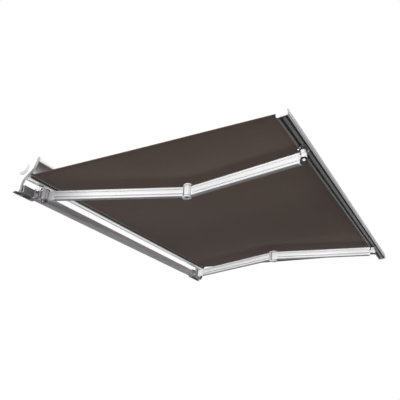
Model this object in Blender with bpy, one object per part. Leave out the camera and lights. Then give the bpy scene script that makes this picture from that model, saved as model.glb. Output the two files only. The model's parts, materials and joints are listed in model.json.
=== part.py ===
# Folding-arm canvas awning with hood, shown fully extended.
# Metres, +Z up. The wall is the plane y = 0 and the awning reaches out towards -Y.
# x = 0 is the middle of the awning, z = 0 the middle of the torsion bar.
import math

import bmesh
import bpy
from mathutils import Matrix, Vector

# Overall driving sizes
AWNING_WIDTH = 2.500
PITCH = math.radians(4.6)
GAP = 0.0003
RUNNING_GAP = 0.0006

# Torsion bar and wall brackets
BAR_SIDE = 0.053
BAR_WALL = 0.003
PLUG_DEPTH = 0.020
BRACKET_PLATE = 0.010
BRACKET_FLANGE = 0.008
BRACKET_HOOK = 0.006
BRACKET_RISE = 0.052
CLAMP_PLATE = 0.005
CLAMP_REACH = 0.012
CLAMP_BOLT_R = 0.004

# End caps, hood and lower shell
CAP_INSET = 0.006
CAP_DEPTH = 0.022
CAP_WALL = 0.004
CAP_FLOOR = 0.006
COVER_R = 0.050
COVER_RISE = 0.024
HOOD_WALL = 0.0028
HOOD_BACK_Z = 0.140
STRIP_DEPTH = 0.0036

# Roller
ROLLER_FORWARD = 0.004
ROLLER_Z = 0.150
TUBE_R = 0.039
TUBE_WALL = 0.0025
ROLL_R = 0.047
MOTOR_R = 0.0275
MOTOR_LENGTH = 0.560
BEARING_R = 0.012
SPINDLE_R = 0.006

# Fabric
FABRIC_SIDE_GAP = 0.004
FABRIC_THICKNESS = 0.0016
KEDER_R = 0.0032

# Arms
SHOULDER_INSET = 0.127
SHOULDER_REACH = 0.080
SHOULDER_Z = -0.021
UPPER_LENGTH = 1.058
FOREARM_LENGTH = 0.858
UPPER_ANGLE = math.radians(18.7)
UPPER_FOLDED = math.radians(86.2)
FOREARM_FOLDED = math.radians(86.5)
ARM_HEIGHT = 0.0717
ARM_WIDTH = 0.030
ARM_WALL = 0.0025
ARM_OFFSET = 0.017
ARM_GROOVE = 0.0022
PIN_R = 0.007
PIN_HEAD_R = 0.012
PIN_HEAD = 0.005

# Shoulder: fork on the tilt block, knuckle on the upper arm
KNUCKLE_R = 0.026
KNUCKLE_HALF = 0.030
FORK_PLATE = 0.012
TILT_AXIS_FORWARD = 0.026
TILT_LUG_R = 0.014
TILT_LUG_HALF = 0.021
TILT_BOLT_R = 0.006
CHEEK_THICKNESS = 0.009
SHOULDER_CLAMP = 0.007
SHOULDER_JAW = 0.024
SHOULDER_HALF_WIDTH = TILT_LUG_HALF + CHEEK_THICKNESS + GAP

# Elbow
ELBOW_R = 0.030
ELBOW_PLATE = 0.011
ELBOW_CASTING_END = 0.085

# Hand
HAND_R = 0.015
HAND_HALF = 0.022
HAND_PLATE = 0.010
HAND_SLOT = 0.0100
HAND_SLOT_BACK = 0.0025
HAND_BRACKET_EDGE = 0.0115
SPRING_LENGTH = 0.420
HAND_CASTING_START = 0.031
HAND_CASTING_END = 0.070

# Front bar
BAR_ABOVE_ARM = 0.0394
FRONT_DEPTH = 0.0560
FRONT_HEIGHT = 0.0548
FRONT_BEHIND_PIN = 0.0170
FRONT_CAP = 0.008

# Derived places
BAR_BACK_Y = -(BRACKET_PLATE + GAP)
BAR_FRONT_Y = BAR_BACK_Y - BAR_SIDE
BAR_Y = BAR_BACK_Y - BAR_SIDE / 2
CAP_OUTER_X = AWNING_WIDTH / 2 - CAP_INSET
CAP_INNER_X = CAP_OUTER_X - CAP_DEPTH
FABRIC_WIDTH = 2 * (CAP_INNER_X - FABRIC_SIDE_GAP)
SHOULDER_X = CAP_INNER_X - SHOULDER_INSET
ROLLER_Y = BAR_FRONT_Y + ROLLER_FORWARD
SHOULDER_Y = BAR_FRONT_Y - SHOULDER_REACH
TILT_Y = BAR_FRONT_Y - TILT_AXIS_FORWARD
ARM_DIFFERENCE = UPPER_LENGTH * math.sin(UPPER_FOLDED) - FOREARM_LENGTH * math.sin(FOREARM_FOLDED)
FOREARM_ANGLE = math.asin((UPPER_LENGTH * math.sin(UPPER_ANGLE) - ARM_DIFFERENCE) / FOREARM_LENGTH)
HAND_X = SHOULDER_X - ARM_DIFFERENCE
OUTWARD = Vector((0.0, -math.cos(PITCH), -math.sin(PITCH)))
ARM_NORMAL = Vector((0.0, -math.sin(PITCH), math.cos(PITCH)))
SHOULDER = Vector((-SHOULDER_X, SHOULDER_Y, SHOULDER_Z))
ELBOW = SHOULDER + UPPER_LENGTH * (math.sin(UPPER_ANGLE) * Vector((1, 0, 0)) + math.cos(UPPER_ANGLE) * OUTWARD)
HAND = ELBOW + FOREARM_LENGTH * (math.cos(FOREARM_ANGLE) * OUTWARD - math.sin(FOREARM_ANGLE) * Vector((1, 0, 0)))
HALF_ARM = ARM_HEIGHT / 2
ELBOW_HALF = HALF_ARM + GAP
FRONT_BACK_Y = HAND.y + FRONT_BEHIND_PIN
FRONT_BOTTOM_Z = HAND.z + BAR_ABOVE_ARM
FRONT_HALF = AWNING_WIDTH / 2 - FRONT_CAP

# Heights on the hood's section, measured from the bar's front bottom corner as (out from the wall = minus)
SECTION_Y = BAR_FRONT_Y
SECTION_Z = -BAR_SIDE / 2
CAP_BACK_Y = -0.002
CAP_BOTTOM = -0.002
CAP_FRONT = [(-0.122, 0.244), (-0.1205, 0.2304), (-0.114, 0.2109), (-0.103, 0.1799), (-0.085, 0.1508),
             (-0.056, 0.1262), (-0.027, 0.1070), (-0.004, 0.0870), (0.008, 0.0660), (0.013, 0.0450),
             (0.0135, 0.0200), (0.020, 0.0040)]
HOOD_LIP = (-0.1185, 0.2120)
HOOD_FRONT_TOP = (-0.1185, 0.2400)
HOOD_ROOF = [(-0.108, 0.2460), (-0.060, 0.2590), (0.000, 0.2650), (0.045, 0.2650)]
STRIP_TOP = (-0.0600, 0.1203)
STRIP_BOTTOM = (-0.0520, 0.1030)
SHELL_NOSE = [(-0.0455, 0.0970), (-0.0470, 0.0935), (-0.0445, 0.0885), (-0.0385, 0.0842), (-0.0300, 0.0828),
              (-0.0215, 0.0855), (-0.0130, 0.0920), (0.0050, 0.0985), (0.0050, 0.1030), (-0.0150, 0.1030)]
BODY_COLOUR = (0.86, 0.86, 0.87)
DARK_COLOUR = (0.03, 0.03, 0.03)
STEEL_COLOUR = (0.55, 0.55, 0.57)
FABRIC_COLOUR = (0.070, 0.052, 0.045)
GREY_COLOUR = (0.35, 0.35, 0.36)


def clear_scene():
    for item in list(bpy.data.objects):
        bpy.data.objects.remove(item, do_unlink=True)


def material(name, colour, roughness, metallic):
    made = bpy.data.materials.get(name)
    if made is None:
        made = bpy.data.materials.new(name)
        made.use_nodes = True
        shader = made.node_tree.nodes["Principled BSDF"]
        shader.inputs["Base Color"].default_value = (*colour, 1.0)
        shader.inputs["Roughness"].default_value = roughness
        shader.inputs["Metallic"].default_value = metallic
    return made


def finish_of(kind):
    table = {
        "white": (BODY_COLOUR, 0.35, 0.0),
        "steel": (STEEL_COLOUR, 0.30, 1.0),
        "black": (DARK_COLOUR, 0.55, 0.0),
        "fabric": (FABRIC_COLOUR, 0.95, 0.0),
        "brush": (GREY_COLOUR, 0.80, 0.0),
        "aluminium": (GREY_COLOUR, 0.40, 1.0),
    }
    return material(kind, *table[kind])


def arc(cx, cy, radius, start, end, steps):
    """Points on an arc, angles in degrees."""
    points = []
    for k in range(steps + 1):
        angle = math.radians(start + (end - start) * k / steps)
        points.append((cx + radius * math.cos(angle), cy + radius * math.sin(angle)))
    return points


def circle(cx, cy, radius, sides):
    return arc(cx, cy, radius, 0, 360 * (sides - 1) / sides, sides - 1)


def rectangle(x0, y0, x1, y1):
    return [(x0, y0), (x1, y0), (x1, y1), (x0, y1)]


def prism_mesh(outline, low, high, place):
    """A closed prism over a flat outline; place turns (u, v, height) into a point."""
    mesh = bmesh.new()
    bottom = [mesh.verts.new(place(u, v, low)) for u, v in outline]
    face = mesh.faces.new(bottom)
    pushed = bmesh.ops.extrude_face_region(mesh, geom=[face])
    lift = place(0, 0, high) - place(0, 0, low)
    moved = [item for item in pushed["geom"] if isinstance(item, bmesh.types.BMVert)]
    bmesh.ops.translate(mesh, verts=moved, vec=lift)
    bmesh.ops.recalc_face_normals(mesh, faces=mesh.faces[:])
    return mesh


def along_x(u, v, height):
    return Vector((height, u, v))


def section_x(u, v, height):
    """Section points given from the bar's front bottom corner."""
    return Vector((height, SECTION_Y + u, SECTION_Z + v))


def frame_of(origin, along, normal):
    """Place for outlines drawn in an arm's own plane: u along the arm, v inwards, height up."""
    side = normal.cross(along)
    def place(u, v, height):
        return origin + along * u + side * v + normal * height
    return place


def add_object(name, mesh, kind, smooth=30):
    data = bpy.data.meshes.new(name)
    bmesh.ops.remove_doubles(mesh, verts=mesh.verts[:], dist=1e-6)
    mesh.to_mesh(data)
    mesh.free()
    made = bpy.data.objects.new(name, data)
    bpy.context.scene.collection.objects.link(made)
    made.data.materials.append(finish_of(kind))
    made.data.shade_smooth()
    made.data.set_sharp_from_angle(angle=math.radians(smooth))
    return made


def solid(name, outline, low, high, place, kind):
    return add_object(name, prism_mesh(outline, low, high, place), kind)


def combine(target, others, operation):
    """Applies a Boolean with each of the other solids, then removes them."""
    for other in others:
        step = target.modifiers.new("cut", "BOOLEAN")
        step.operation = operation
        step.solver = "EXACT"
        step.object = other
        bpy.context.view_layer.update()
        evaluated = target.evaluated_get(bpy.context.evaluated_depsgraph_get())
        result = bpy.data.meshes.new_from_object(evaluated)
        target.modifiers.clear()
        old = target.data
        target.data = result
        bpy.data.meshes.remove(old)
        bpy.data.objects.remove(other, do_unlink=True)
    target.data.shade_smooth()
    target.data.set_sharp_from_angle(angle=math.radians(30))
    return target


def cut(target, *others):
    return combine(target, others, "DIFFERENCE")


def join(target, *others):
    return combine(target, others, "UNION")


def rod(name, start, end, radius, kind, sides=20):
    """A round bar between two points."""
    start = Vector(start)
    axis = Vector(end) - start
    mesh = bmesh.new()
    bmesh.ops.create_cone(mesh, cap_ends=True, segments=sides, radius1=radius, radius2=radius, depth=axis.length)
    turn = axis.to_track_quat("Z", "Y").to_matrix().to_4x4()
    bmesh.ops.transform(mesh, matrix=Matrix.Translation(start + axis / 2) @ turn, verts=mesh.verts[:])
    return add_object(name, mesh, kind)


def turned(name, profile, start, axis, kind, sides=24):
    """A turned piece; profile is (distance along the axis, radius), both ends on the axis."""
    mesh = bmesh.new()
    axis = Vector(axis).normalized()
    turn = axis.to_track_quat("Z", "Y").to_matrix().to_4x4()
    rings = []
    for along, radius in profile:
        if radius <= 0:
            rings.append([mesh.verts.new((0, 0, along))])
            continue
        rings.append([mesh.verts.new((x, y, along)) for x, y in circle(0, 0, radius, sides)])
    for first, second in zip(rings, rings[1:]):
        for k in range(sides):
            n = (k + 1) % sides
            corners = [first[k % len(first)], first[n % len(first)], second[n % len(second)], second[k % len(second)]]
            unique = list(dict.fromkeys(corners))
            if len(unique) > 2:
                mesh.faces.new(unique)
    bmesh.ops.recalc_face_normals(mesh, faces=mesh.faces[:])
    bmesh.ops.transform(mesh, matrix=Matrix.Translation(Vector(start)) @ turn, verts=mesh.verts[:])
    return add_object(name, mesh, kind)


def mirrored(source, name):
    """A copy of a left-hand piece on the right-hand side."""
    mesh = bmesh.new()
    mesh.from_mesh(source.data)
    bmesh.ops.transform(mesh, matrix=Matrix.Scale(-1, 4, (1, 0, 0)), verts=mesh.verts[:])
    bmesh.ops.reverse_faces(mesh, faces=mesh.faces[:])
    kind = source.data.materials[0].name
    return add_object(name, mesh, kind)


def both(source):
    """Mirrors a piece named *_left to *_right."""
    return mirrored(source, source.name.replace("_left", "_right"))


def torsion_bar():
    end = CAP_INNER_X - GAP
    half = BAR_SIDE / 2
    bar = solid("torsion_bar", rectangle(BAR_Y - half, -half, BAR_Y + half, half), -end, end, along_x, "white")
    inner = half - BAR_WALL
    cut(bar, solid("void", rectangle(BAR_Y - inner, -inner, BAR_Y + inner, inner), -2, 2, along_x, "white"))
    reach = inner - GAP
    plug = solid("bar_plug_left", rectangle(BAR_Y - reach, -reach, BAR_Y + reach, reach),
                 -end, -end + PLUG_DEPTH, along_x, "black")
    both(plug)


def wall_bracket():
    """Back plate with a hook over the bar and a shelf under it, closed below by a clamp plate."""
    half = BAR_SIDE / 2
    low_x = -CAP_INNER_X + 0.004
    high_x = -SHOULDER_X - SHOULDER_HALF_WIDTH - 0.006
    outer_x = -CAP_OUTER_X - 0.016
    foot_x = -SHOULDER_X + 0.006
    top = half + GAP
    back = BAR_BACK_Y + GAP
    hook_tip = BAR_FRONT_Y + BAR_SIDE * 0.35
    shelf_tip = BAR_BACK_Y - CLAMP_REACH
    shelf_bottom = -top - BRACKET_FLANGE
    outline = [(0, -BRACKET_RISE), (0, BRACKET_RISE), (back, BRACKET_RISE), (back, top + BRACKET_HOOK),
               (hook_tip, top + BRACKET_HOOK), (hook_tip, top), (back, top), (back, -top),
               (shelf_tip, -top), (shelf_tip, shelf_bottom), (back, shelf_bottom), (back, -BRACKET_RISE)]
    bracket = solid("wall_bracket_left", outline, low_x, high_x, along_x, "white")
    under_cap = SECTION_Z + CAP_BOTTOM - 2 * GAP
    foot = [(0, -BRACKET_RISE), (0, under_cap), (shelf_tip, under_cap), (shelf_tip, shelf_bottom),
            (back, shelf_bottom), (back, -BRACKET_RISE)]
    join(bracket, solid("foot", foot, outer_x, low_x + 0.002, along_x, "white"))
    inner_foot = [(0, -BRACKET_RISE), (0, -top - 0.001), (shelf_tip, -top - 0.001), (shelf_tip, shelf_bottom),
                  (back, shelf_bottom), (back, -BRACKET_RISE)]
    join(bracket, solid("foot", inner_foot, high_x - 0.002, foot_x, along_x, "white"))
    both(bracket)
    plate_top = shelf_bottom - GAP
    front = shelf_tip - CLAMP_REACH
    plate = solid("clamp_plate_left", rectangle(back - GAP, plate_top - CLAMP_PLATE, front, plate_top),
                  outer_x, foot_x, along_x, "black")
    notch = [(back - 0.008, plate_top - CLAMP_PLATE - 0.01), (back - 0.008, plate_top + 0.01),
             (front - 0.01, plate_top + 0.01), (front - 0.01, plate_top - CLAMP_PLATE - 0.01)]
    bolts = (outer_x + 0.035, foot_x - 0.055)
    cut(plate, solid("notch", notch, bolts[0] + 0.028, bolts[1] - 0.008, along_x, "black"))
    for k, x in enumerate(bolts):
        y = shelf_tip + 0.004
        hole = rod("hole", (x, y, plate_top - CLAMP_PLATE - 0.01), (x, y, plate_top + 0.01), CLAMP_BOLT_R + GAP, "black", 12)
        cut(plate, hole)
        under = plate_top - CLAMP_PLATE - GAP
        bolt = rod("clamp_bolt_%d_left" % (k + 1), (x, y, under - 0.005), (x, y, under), 0.0075, "steel", 6)
        shank = rod("shank", (x, y, under - 0.002), (x, y, plate_top), CLAMP_BOLT_R, "steel", 12)
        join(bolt, shank)
        both(bolt)
    both(plate)


def end_cap():
    """Cast tray: a floor on the outside and a rim towards the awning, in the hood's outline."""
    back = CAP_BACK_Y - SECTION_Y
    outline = [(u, v) for u, v in CAP_FRONT]
    outline += [(0.028, CAP_BOTTOM), (back - 0.010, CAP_BOTTOM), (back, 0.008), (back, 0.262), (back - 0.012, 0.271),
                (0.000, 0.271), (-0.062, 0.2645), (-0.112, 0.2515)]
    mesh = prism_mesh(outline, -CAP_OUTER_X, -CAP_INNER_X, section_x)
    mesh.faces.ensure_lookup_table()
    inner = [face for face in mesh.faces if face.normal.x > 0.9]
    bmesh.ops.inset_region(mesh, faces=inner, thickness=CAP_WALL, use_even_offset=True)
    pocket = [face for face in mesh.faces if face.normal.x > 0.9 and len(face.verts) > 6]
    points = {vert for face in pocket for vert in face.verts}
    bmesh.ops.translate(mesh, verts=list(points), vec=Vector((-(CAP_DEPTH - CAP_FLOOR), 0, 0)))
    cap = add_object("end_cap_left", mesh, "white")
    bore = rod("bore", (-CAP_OUTER_X - 0.01, ROLLER_Y, ROLLER_Z), (-CAP_INNER_X + 0.01, ROLLER_Y, ROLLER_Z),
               BEARING_R + GAP, "white", 16)
    cut(cap, bore)
    both(cap)
    edge = 0.006
    start = -CAP_OUTER_X - GAP
    profile = [(0, 0), (0, COVER_R), (COVER_RISE - edge, COVER_R)]
    profile += [(COVER_RISE - edge + edge * math.sin(math.radians(a)), COVER_R - edge + edge * math.cos(math.radians(a)))
                for a in (30, 60, 90)]
    profile += [(COVER_RISE, COVER_R * 0.62), (COVER_RISE - 0.003, COVER_R * 0.58), (COVER_RISE - 0.003, 0)]
    cover = turned("end_cover_left", profile, (start, ROLLER_Y, ROLLER_Z), (-1, 0, 0), "white", 28)
    both(cover)


def hood():
    """Extruded roof: lip at the front, roof, and a back skirt down behind the roller."""
    end = CAP_INNER_X - GAP
    back = -0.0025 - SECTION_Y
    wall = HOOD_WALL
    outer = [HOOD_LIP, HOOD_FRONT_TOP] + HOOD_ROOF + [(back, 0.258), (back, HOOD_BACK_Z)]
    inner = [(back - wall, HOOD_BACK_Z), (back - wall, 0.256), (0.045, 0.2650 - wall), (0.0, 0.2650 - wall),
             (-0.060 + wall * 0.2, 0.2590 - wall), (-0.107, 0.2460 - wall), (HOOD_FRONT_TOP[0] + wall, 0.238),
             (HOOD_LIP[0] + wall, HOOD_LIP[1] + wall), (HOOD_LIP[0] + 0.009, HOOD_LIP[1] + wall), (HOOD_LIP[0] + 0.009, HOOD_LIP[1])]
    solid("hood", outer + inner, -end, end, section_x, "white")


def lower_shell():
    """Underside profile between the end caps, with a ribbed bristle strip clipped to its front."""
    end = CAP_INNER_X - GAP
    behind = STRIP_DEPTH + 3 * GAP
    back_top = (STRIP_TOP[0] + behind, STRIP_TOP[1] - 0.0008)
    back_bottom = (STRIP_BOTTOM[0] + behind, STRIP_BOTTOM[1])
    outline = [back_top, back_bottom, (-0.0385, 0.1040), (-0.0365, 0.0985)] + SHELL_NOSE
    outline += [(-0.0320, 0.1085), (-0.0480, back_top[1] - 0.0015)]
    solid("lower_shell", outline, -end, end, section_x, "white")
    strip = [STRIP_TOP, STRIP_BOTTOM, (STRIP_BOTTOM[0] + STRIP_DEPTH, STRIP_BOTTOM[1]),
             (STRIP_TOP[0] + STRIP_DEPTH, STRIP_TOP[1])]
    solid("brush_strip", strip, -end, end, section_x, "brush")


def roller():
    axis = Vector((0, ROLLER_Y, ROLLER_Z))
    end = FABRIC_WIDTH / 2
    tube = solid("roller_tube", circle(ROLLER_Y, ROLLER_Z, TUBE_R, 24), -end, end, along_x, "aluminium")
    cut(tube, solid("void", circle(ROLLER_Y, ROLLER_Z, TUBE_R - TUBE_WALL, 24), -2, 2, along_x, "aluminium"))
    roll = solid("fabric_roll", circle(ROLLER_Y, ROLLER_Z, ROLL_R, 32), -FABRIC_WIDTH / 2, FABRIC_WIDTH / 2, along_x, "fabric")
    cut(roll, solid("void", circle(ROLLER_Y, ROLLER_Z, TUBE_R + GAP, 24), -2, 2, along_x, "fabric"))
    floor = CAP_OUTER_X - CAP_FLOOR
    start = Vector((-floor + GAP, 0, 0)) + axis
    motor = rod("tube_motor", start, start + Vector((MOTOR_LENGTH, 0, 0)), MOTOR_R, "steel", 20)
    head = rod("head", start, start + Vector((0.016, 0, 0)), TUBE_R - TUBE_WALL - 0.002, "steel", 20)
    stub = rod("stub", start - Vector((CAP_FLOOR, 0, 0)), start + Vector((0.004, 0, 0)), BEARING_R - 0.002, "steel", 12)
    tip = rod("tip", start + Vector((MOTOR_LENGTH - 0.004, 0, 0)), start + Vector((MOTOR_LENGTH + 0.024, 0, 0)), SPINDLE_R, "steel", 12)
    join(motor, head, stub, tip)
    wheel_x = start.x + MOTOR_LENGTH + 0.003
    wheel = rod("drive_wheel", (wheel_x, ROLLER_Y, ROLLER_Z), (wheel_x + 0.018, ROLLER_Y, ROLLER_Z), TUBE_R - TUBE_WALL - GAP, "black", 24)
    cut(wheel, rod("bore", (wheel_x - 0.01, ROLLER_Y, ROLLER_Z), (wheel_x + 0.03, ROLLER_Y, ROLLER_Z), SPINDLE_R + RUNNING_GAP, "black", 12))
    plug = rod("idler_plug", (end - 0.045, ROLLER_Y, ROLLER_Z), (end, ROLLER_Y, ROLLER_Z), TUBE_R - TUBE_WALL - GAP, "black", 24)
    spindle = rod("spindle", (end - 0.004, ROLLER_Y, ROLLER_Z), (CAP_OUTER_X - 0.001, ROLLER_Y, ROLLER_Z), SPINDLE_R, "black", 12)
    join(plug, spindle)
    bearing = rod("idler_bearing", (CAP_INNER_X + 0.004, ROLLER_Y, ROLLER_Z), (CAP_OUTER_X, ROLLER_Y, ROLLER_Z), BEARING_R, "steel", 20)
    flange = rod("flange", (CAP_OUTER_X - CAP_FLOOR - GAP - 0.005, ROLLER_Y, ROLLER_Z),
                 (CAP_OUTER_X - CAP_FLOOR - GAP, ROLLER_Y, ROLLER_Z), BEARING_R + 0.005, "steel", 20)
    join(bearing, flange)
    cut(bearing, rod("bore", (CAP_INNER_X - 0.02, ROLLER_Y, ROLLER_Z), (CAP_OUTER_X + 0.02, ROLLER_Y, ROLLER_Z),
                     SPINDLE_R + RUNNING_GAP, "steel", 16))


def arm_outline(half_width, half_height, groove):
    """Arm section with rounded corners and two grooves in each side."""
    round_r = 0.006
    w, h = half_width, half_height
    side = []
    for centre in (-h * 0.40, h * 0.40):
        side += [(w, centre - 0.004), (w - groove, centre - 0.002), (w - groove, centre + 0.002), (w, centre + 0.004)]
    points = arc(w - round_r, -h + round_r, round_r, -90, 0, 2) + side
    points += arc(w - round_r, h - round_r, round_r, 0, 90, 2)
    other = [(-u, -v) for u, v in points]
    return points + other


def arm_profile(name, origin, along, start, end):
    """Hollow extrusion between two distances along an arm, offset to the inner side."""
    side = ARM_NORMAL.cross(along)
    if side.x < 0:
        side = -side
    def place(u, v, height):
        return origin + along * height + side * (ARM_OFFSET + u) + ARM_NORMAL * v
    outer = arm_outline(ARM_WIDTH / 2, HALF_ARM, ARM_GROOVE)
    profile = solid(name, outer, start, end, place, "white")
    inner_w = ARM_WIDTH / 2 - ARM_WALL - ARM_GROOVE
    inner_h = HALF_ARM - ARM_WALL
    void = solid("void", rectangle(-inner_w, -inner_h, inner_w, inner_h), start - 0.1, end + 0.1, place, "white")
    return cut(profile, void)


def knuckle(name, origin, along, radius, half_height, neck_end, casting_end, neck_low, kind="white"):
    """Arm end casting: round knuckle, neck and a block that meets the profile, with a tenon inside it."""
    side = ARM_NORMAL.cross(along)
    if side.x < 0:
        side = -side
    def place(u, v, height):
        return origin + along * u + side * v + ARM_NORMAL * height
    low_v = ARM_OFFSET - ARM_WIDTH / 2
    high_v = ARM_OFFSET + ARM_WIDTH / 2
    body = solid(name, circle(0, 0, radius, 28), -half_height, half_height, place, kind)
    neck = solid("neck", rectangle(0, neck_low, neck_end + 0.004, radius * 0.92), -half_height + 0.0004, half_height - 0.0004, place, kind)
    block = solid("block", rectangle(neck_end, low_v, casting_end, high_v), -HALF_ARM, HALF_ARM, place, kind)
    inner_w = ARM_WIDTH / 2 - ARM_WALL - ARM_GROOVE - GAP
    inner_h = HALF_ARM - ARM_WALL - GAP
    tenon = solid("tenon", rectangle(casting_end - 0.002, ARM_OFFSET - inner_w, casting_end + 0.030, ARM_OFFSET + inner_w),
                  -inner_h, inner_h, place, kind)
    join(body, neck, block, tenon)
    bore = solid("bore", circle(0, 0, PIN_R + GAP, 20), -half_height - 0.01, half_height + 0.01, place, kind)
    return cut(body, bore)


def shoulder_parts():
    """Clamp on the torsion bar, tilting fork, its bolt and the arm's pin, left side."""
    half = BAR_SIDE / 2
    wall = SHOULDER_CLAMP
    width = SHOULDER_HALF_WIDTH
    front = BAR_FRONT_Y - GAP
    jaw = BAR_FRONT_Y + SHOULDER_JAW
    outline = [(jaw, half + GAP), (front, half + GAP), (front, -half - GAP), (jaw, -half - GAP),
               (jaw, -half - GAP - wall), (front - wall, -half - GAP - wall),
               (front - wall, half + GAP + wall), (jaw, half + GAP + wall)]
    clamp = solid("shoulder_bracket_left", outline, -SHOULDER_X - width, -SHOULDER_X + width, along_x, "white")
    centre = (TILT_Y, SHOULDER_Z)
    for side in (-1, 1):
        low = -SHOULDER_X + side * (TILT_LUG_HALF + GAP)
        high = -SHOULDER_X + side * (TILT_LUG_HALF + GAP + CHEEK_THICKNESS)
        ear = [(front - wall + 0.001, SHOULDER_Z + TILT_LUG_R + 0.010)] + arc(*centre, TILT_LUG_R + 0.002, 100, 260, 8)
        ear += [(front - wall + 0.001, SHOULDER_Z - TILT_LUG_R - 0.004)]
        join(clamp, solid("ear", ear, min(low, high), max(low, high), along_x, "white"))
    reach = 0.2
    cut(clamp, rod("bore", (-SHOULDER_X - reach, *centre), (-SHOULDER_X + reach, *centre), TILT_BOLT_R + GAP, "white", 16))
    both(clamp)

    # Tilting fork: lug on the tilt bolt, web, and two plates around the arm's knuckle
    def place(u, v, height):
        return SHOULDER + OUTWARD * u + Vector((v, 0, 0)) + ARM_NORMAL * height
    low = KNUCKLE_HALF + RUNNING_GAP
    high = low + FORK_PLATE
    back = -(KNUCKLE_R + 0.004)
    web_back = back - 0.014
    block = solid("tilt_block_left", rectangle(web_back, -TILT_LUG_HALF + 0.001, back, TILT_LUG_HALF - 0.001), -high, high, place, "white")
    for sign in (-1, 1):
        lo, hi = sorted((sign * low, sign * high))
        plate = [(back - 0.004, -TILT_LUG_HALF + 0.001)] + arc(0, 0, KNUCKLE_R, -90, 90, 10) + [(back - 0.004, TILT_LUG_HALF - 0.001)]
        join(block, solid("plate", plate, lo, hi, place, "white"))
    lug = rod("lug", (-SHOULDER_X - TILT_LUG_HALF + GAP, *centre), (-SHOULDER_X + TILT_LUG_HALF - GAP, *centre), TILT_LUG_R, "white", 24)
    join(block, lug)
    cut(block, rod("bore", (-SHOULDER_X - reach, *centre), (-SHOULDER_X + reach, *centre), TILT_BOLT_R + GAP, "white", 16))
    cut(block, solid("bore", circle(0, 0, PIN_R + GAP, 20), -high - 0.01, high + 0.01, place, "white"))
    both(block)

    outer = SHOULDER_HALF_WIDTH + GAP
    reach = outer + 0.004
    bolt = rod("tilt_bolt_left", (-SHOULDER_X - reach, *centre), (-SHOULDER_X + reach, *centre), TILT_BOLT_R, "steel", 16)
    head = rod("head", (-SHOULDER_X - outer - 0.007, *centre), (-SHOULDER_X - outer, *centre), 0.011, "steel", 6)
    nut = rod("nut", (-SHOULDER_X + outer, *centre), (-SHOULDER_X + outer + 0.007, *centre), 0.011, "steel", 6)
    join(bolt, head, nut)
    both(bolt)
    pin("shoulder_pin_left", SHOULDER, high)


def pin(name, origin, plate_top):
    """Headed pin through a fork, standing on its plates."""
    top = plate_top + GAP
    piece = rod(name, origin - ARM_NORMAL * (top + PIN_HEAD), origin + ARM_NORMAL * (top + PIN_HEAD * 0.5), PIN_R, "steel", 16)
    head = rod("head", origin + ARM_NORMAL * top, origin + ARM_NORMAL * (top + PIN_HEAD), PIN_HEAD_R, "steel", 16)
    foot = rod("foot", origin - ARM_NORMAL * (top + PIN_HEAD), origin - ARM_NORMAL * top, PIN_HEAD_R, "steel", 16)
    join(piece, head, foot)
    both(piece)


def upper_arm():
    along = (ELBOW - SHOULDER).normalized()
    shoulder_end = 0.075
    elbow_start = UPPER_LENGTH - ELBOW_CASTING_END
    both(knuckle("shoulder_knuckle_left", SHOULDER, along, KNUCKLE_R, KNUCKLE_HALF, 0.030, shoulder_end, -0.009))
    both(arm_profile("upper_arm_left", SHOULDER, along, shoulder_end + GAP, elbow_start - GAP))
    both(elbow_fork(along))
    side = ARM_NORMAL.cross(along)
    if side.x < 0:
        side = -side
    def place(distance):
        return SHOULDER + along * distance + side * ARM_OFFSET
    spring_start = shoulder_end + 0.030 + GAP
    both(spring("arm_spring_left", place(spring_start), along, SPRING_LENGTH))
    cable_start = spring_start + SPRING_LENGTH + GAP
    both(rod("arm_cable_left", place(cable_start), place(elbow_start - 0.030 - 2 * GAP), 0.0025, "steel", 10))


def spring(name, start, along, length):
    """Closed-wound tension spring as one ribbed body."""
    radius = 0.0085
    ribs = 28
    profile = [(0, 0), (0, 0.004), (0.010, 0.004), (0.010, radius)]
    pitch = (length - 0.020) / ribs
    for k in range(ribs):
        base = 0.010 + k * pitch
        profile += [(base + pitch * 0.5, radius), (base + pitch * 0.75, radius - 0.0015)]
    profile += [(length - 0.010, radius), (length - 0.010, 0.004), (length, 0.004), (length, 0)]
    return turned(name, profile, start, along, "steel", 8)


def elbow_fork(along):
    """Upper arm's elbow casting: block behind the barrel and two round plates around it."""
    back = -along
    side = ARM_NORMAL.cross(along)
    if side.x < 0:
        side = -side
    def place(u, v, height):
        return ELBOW + back * u + side * v + ARM_NORMAL * height
    low = ELBOW_HALF + RUNNING_GAP
    high = low + ELBOW_PLATE
    low_v = ARM_OFFSET - ARM_WIDTH / 2
    high_v = ARM_OFFSET + ARM_WIDTH / 2
    block_start = ELBOW_R + 0.003
    fork = solid("elbow_fork_left", rectangle(block_start, low_v, ELBOW_CASTING_END, high_v), -HALF_ARM, HALF_ARM, place, "white")
    for sign in (-1, 1):
        lo, hi = sorted((sign * low, sign * high))
        plate = [(ELBOW_CASTING_END * 0.75, high_v)] + arc(0, 0, ELBOW_R, 90, 270, 12) + [(block_start, low_v), (ELBOW_CASTING_END * 0.75, low_v)]
        join(fork, solid("plate", plate, lo, hi, place, "white"))
        inner, outer = sorted((sign * (HALF_ARM - 0.004), sign * (low + 0.004)))
        join(fork, solid("riser", rectangle(block_start, low_v + 0.0004, ELBOW_CASTING_END * 0.75 - 0.001, high_v - 0.0004), inner, outer, place, "white"))
    inner_w = ARM_WIDTH / 2 - ARM_WALL - ARM_GROOVE - GAP
    inner_h = HALF_ARM - ARM_WALL - GAP
    tenon = solid("tenon", rectangle(ELBOW_CASTING_END - 0.002, ARM_OFFSET - inner_w, ELBOW_CASTING_END + 0.030, ARM_OFFSET + inner_w),
                  -inner_h, inner_h, place, "white")
    join(fork, tenon)
    return cut(fork, solid("bore", circle(0, 0, PIN_R + GAP, 20), -high - 0.01, high + 0.01, place, "white"))


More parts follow.
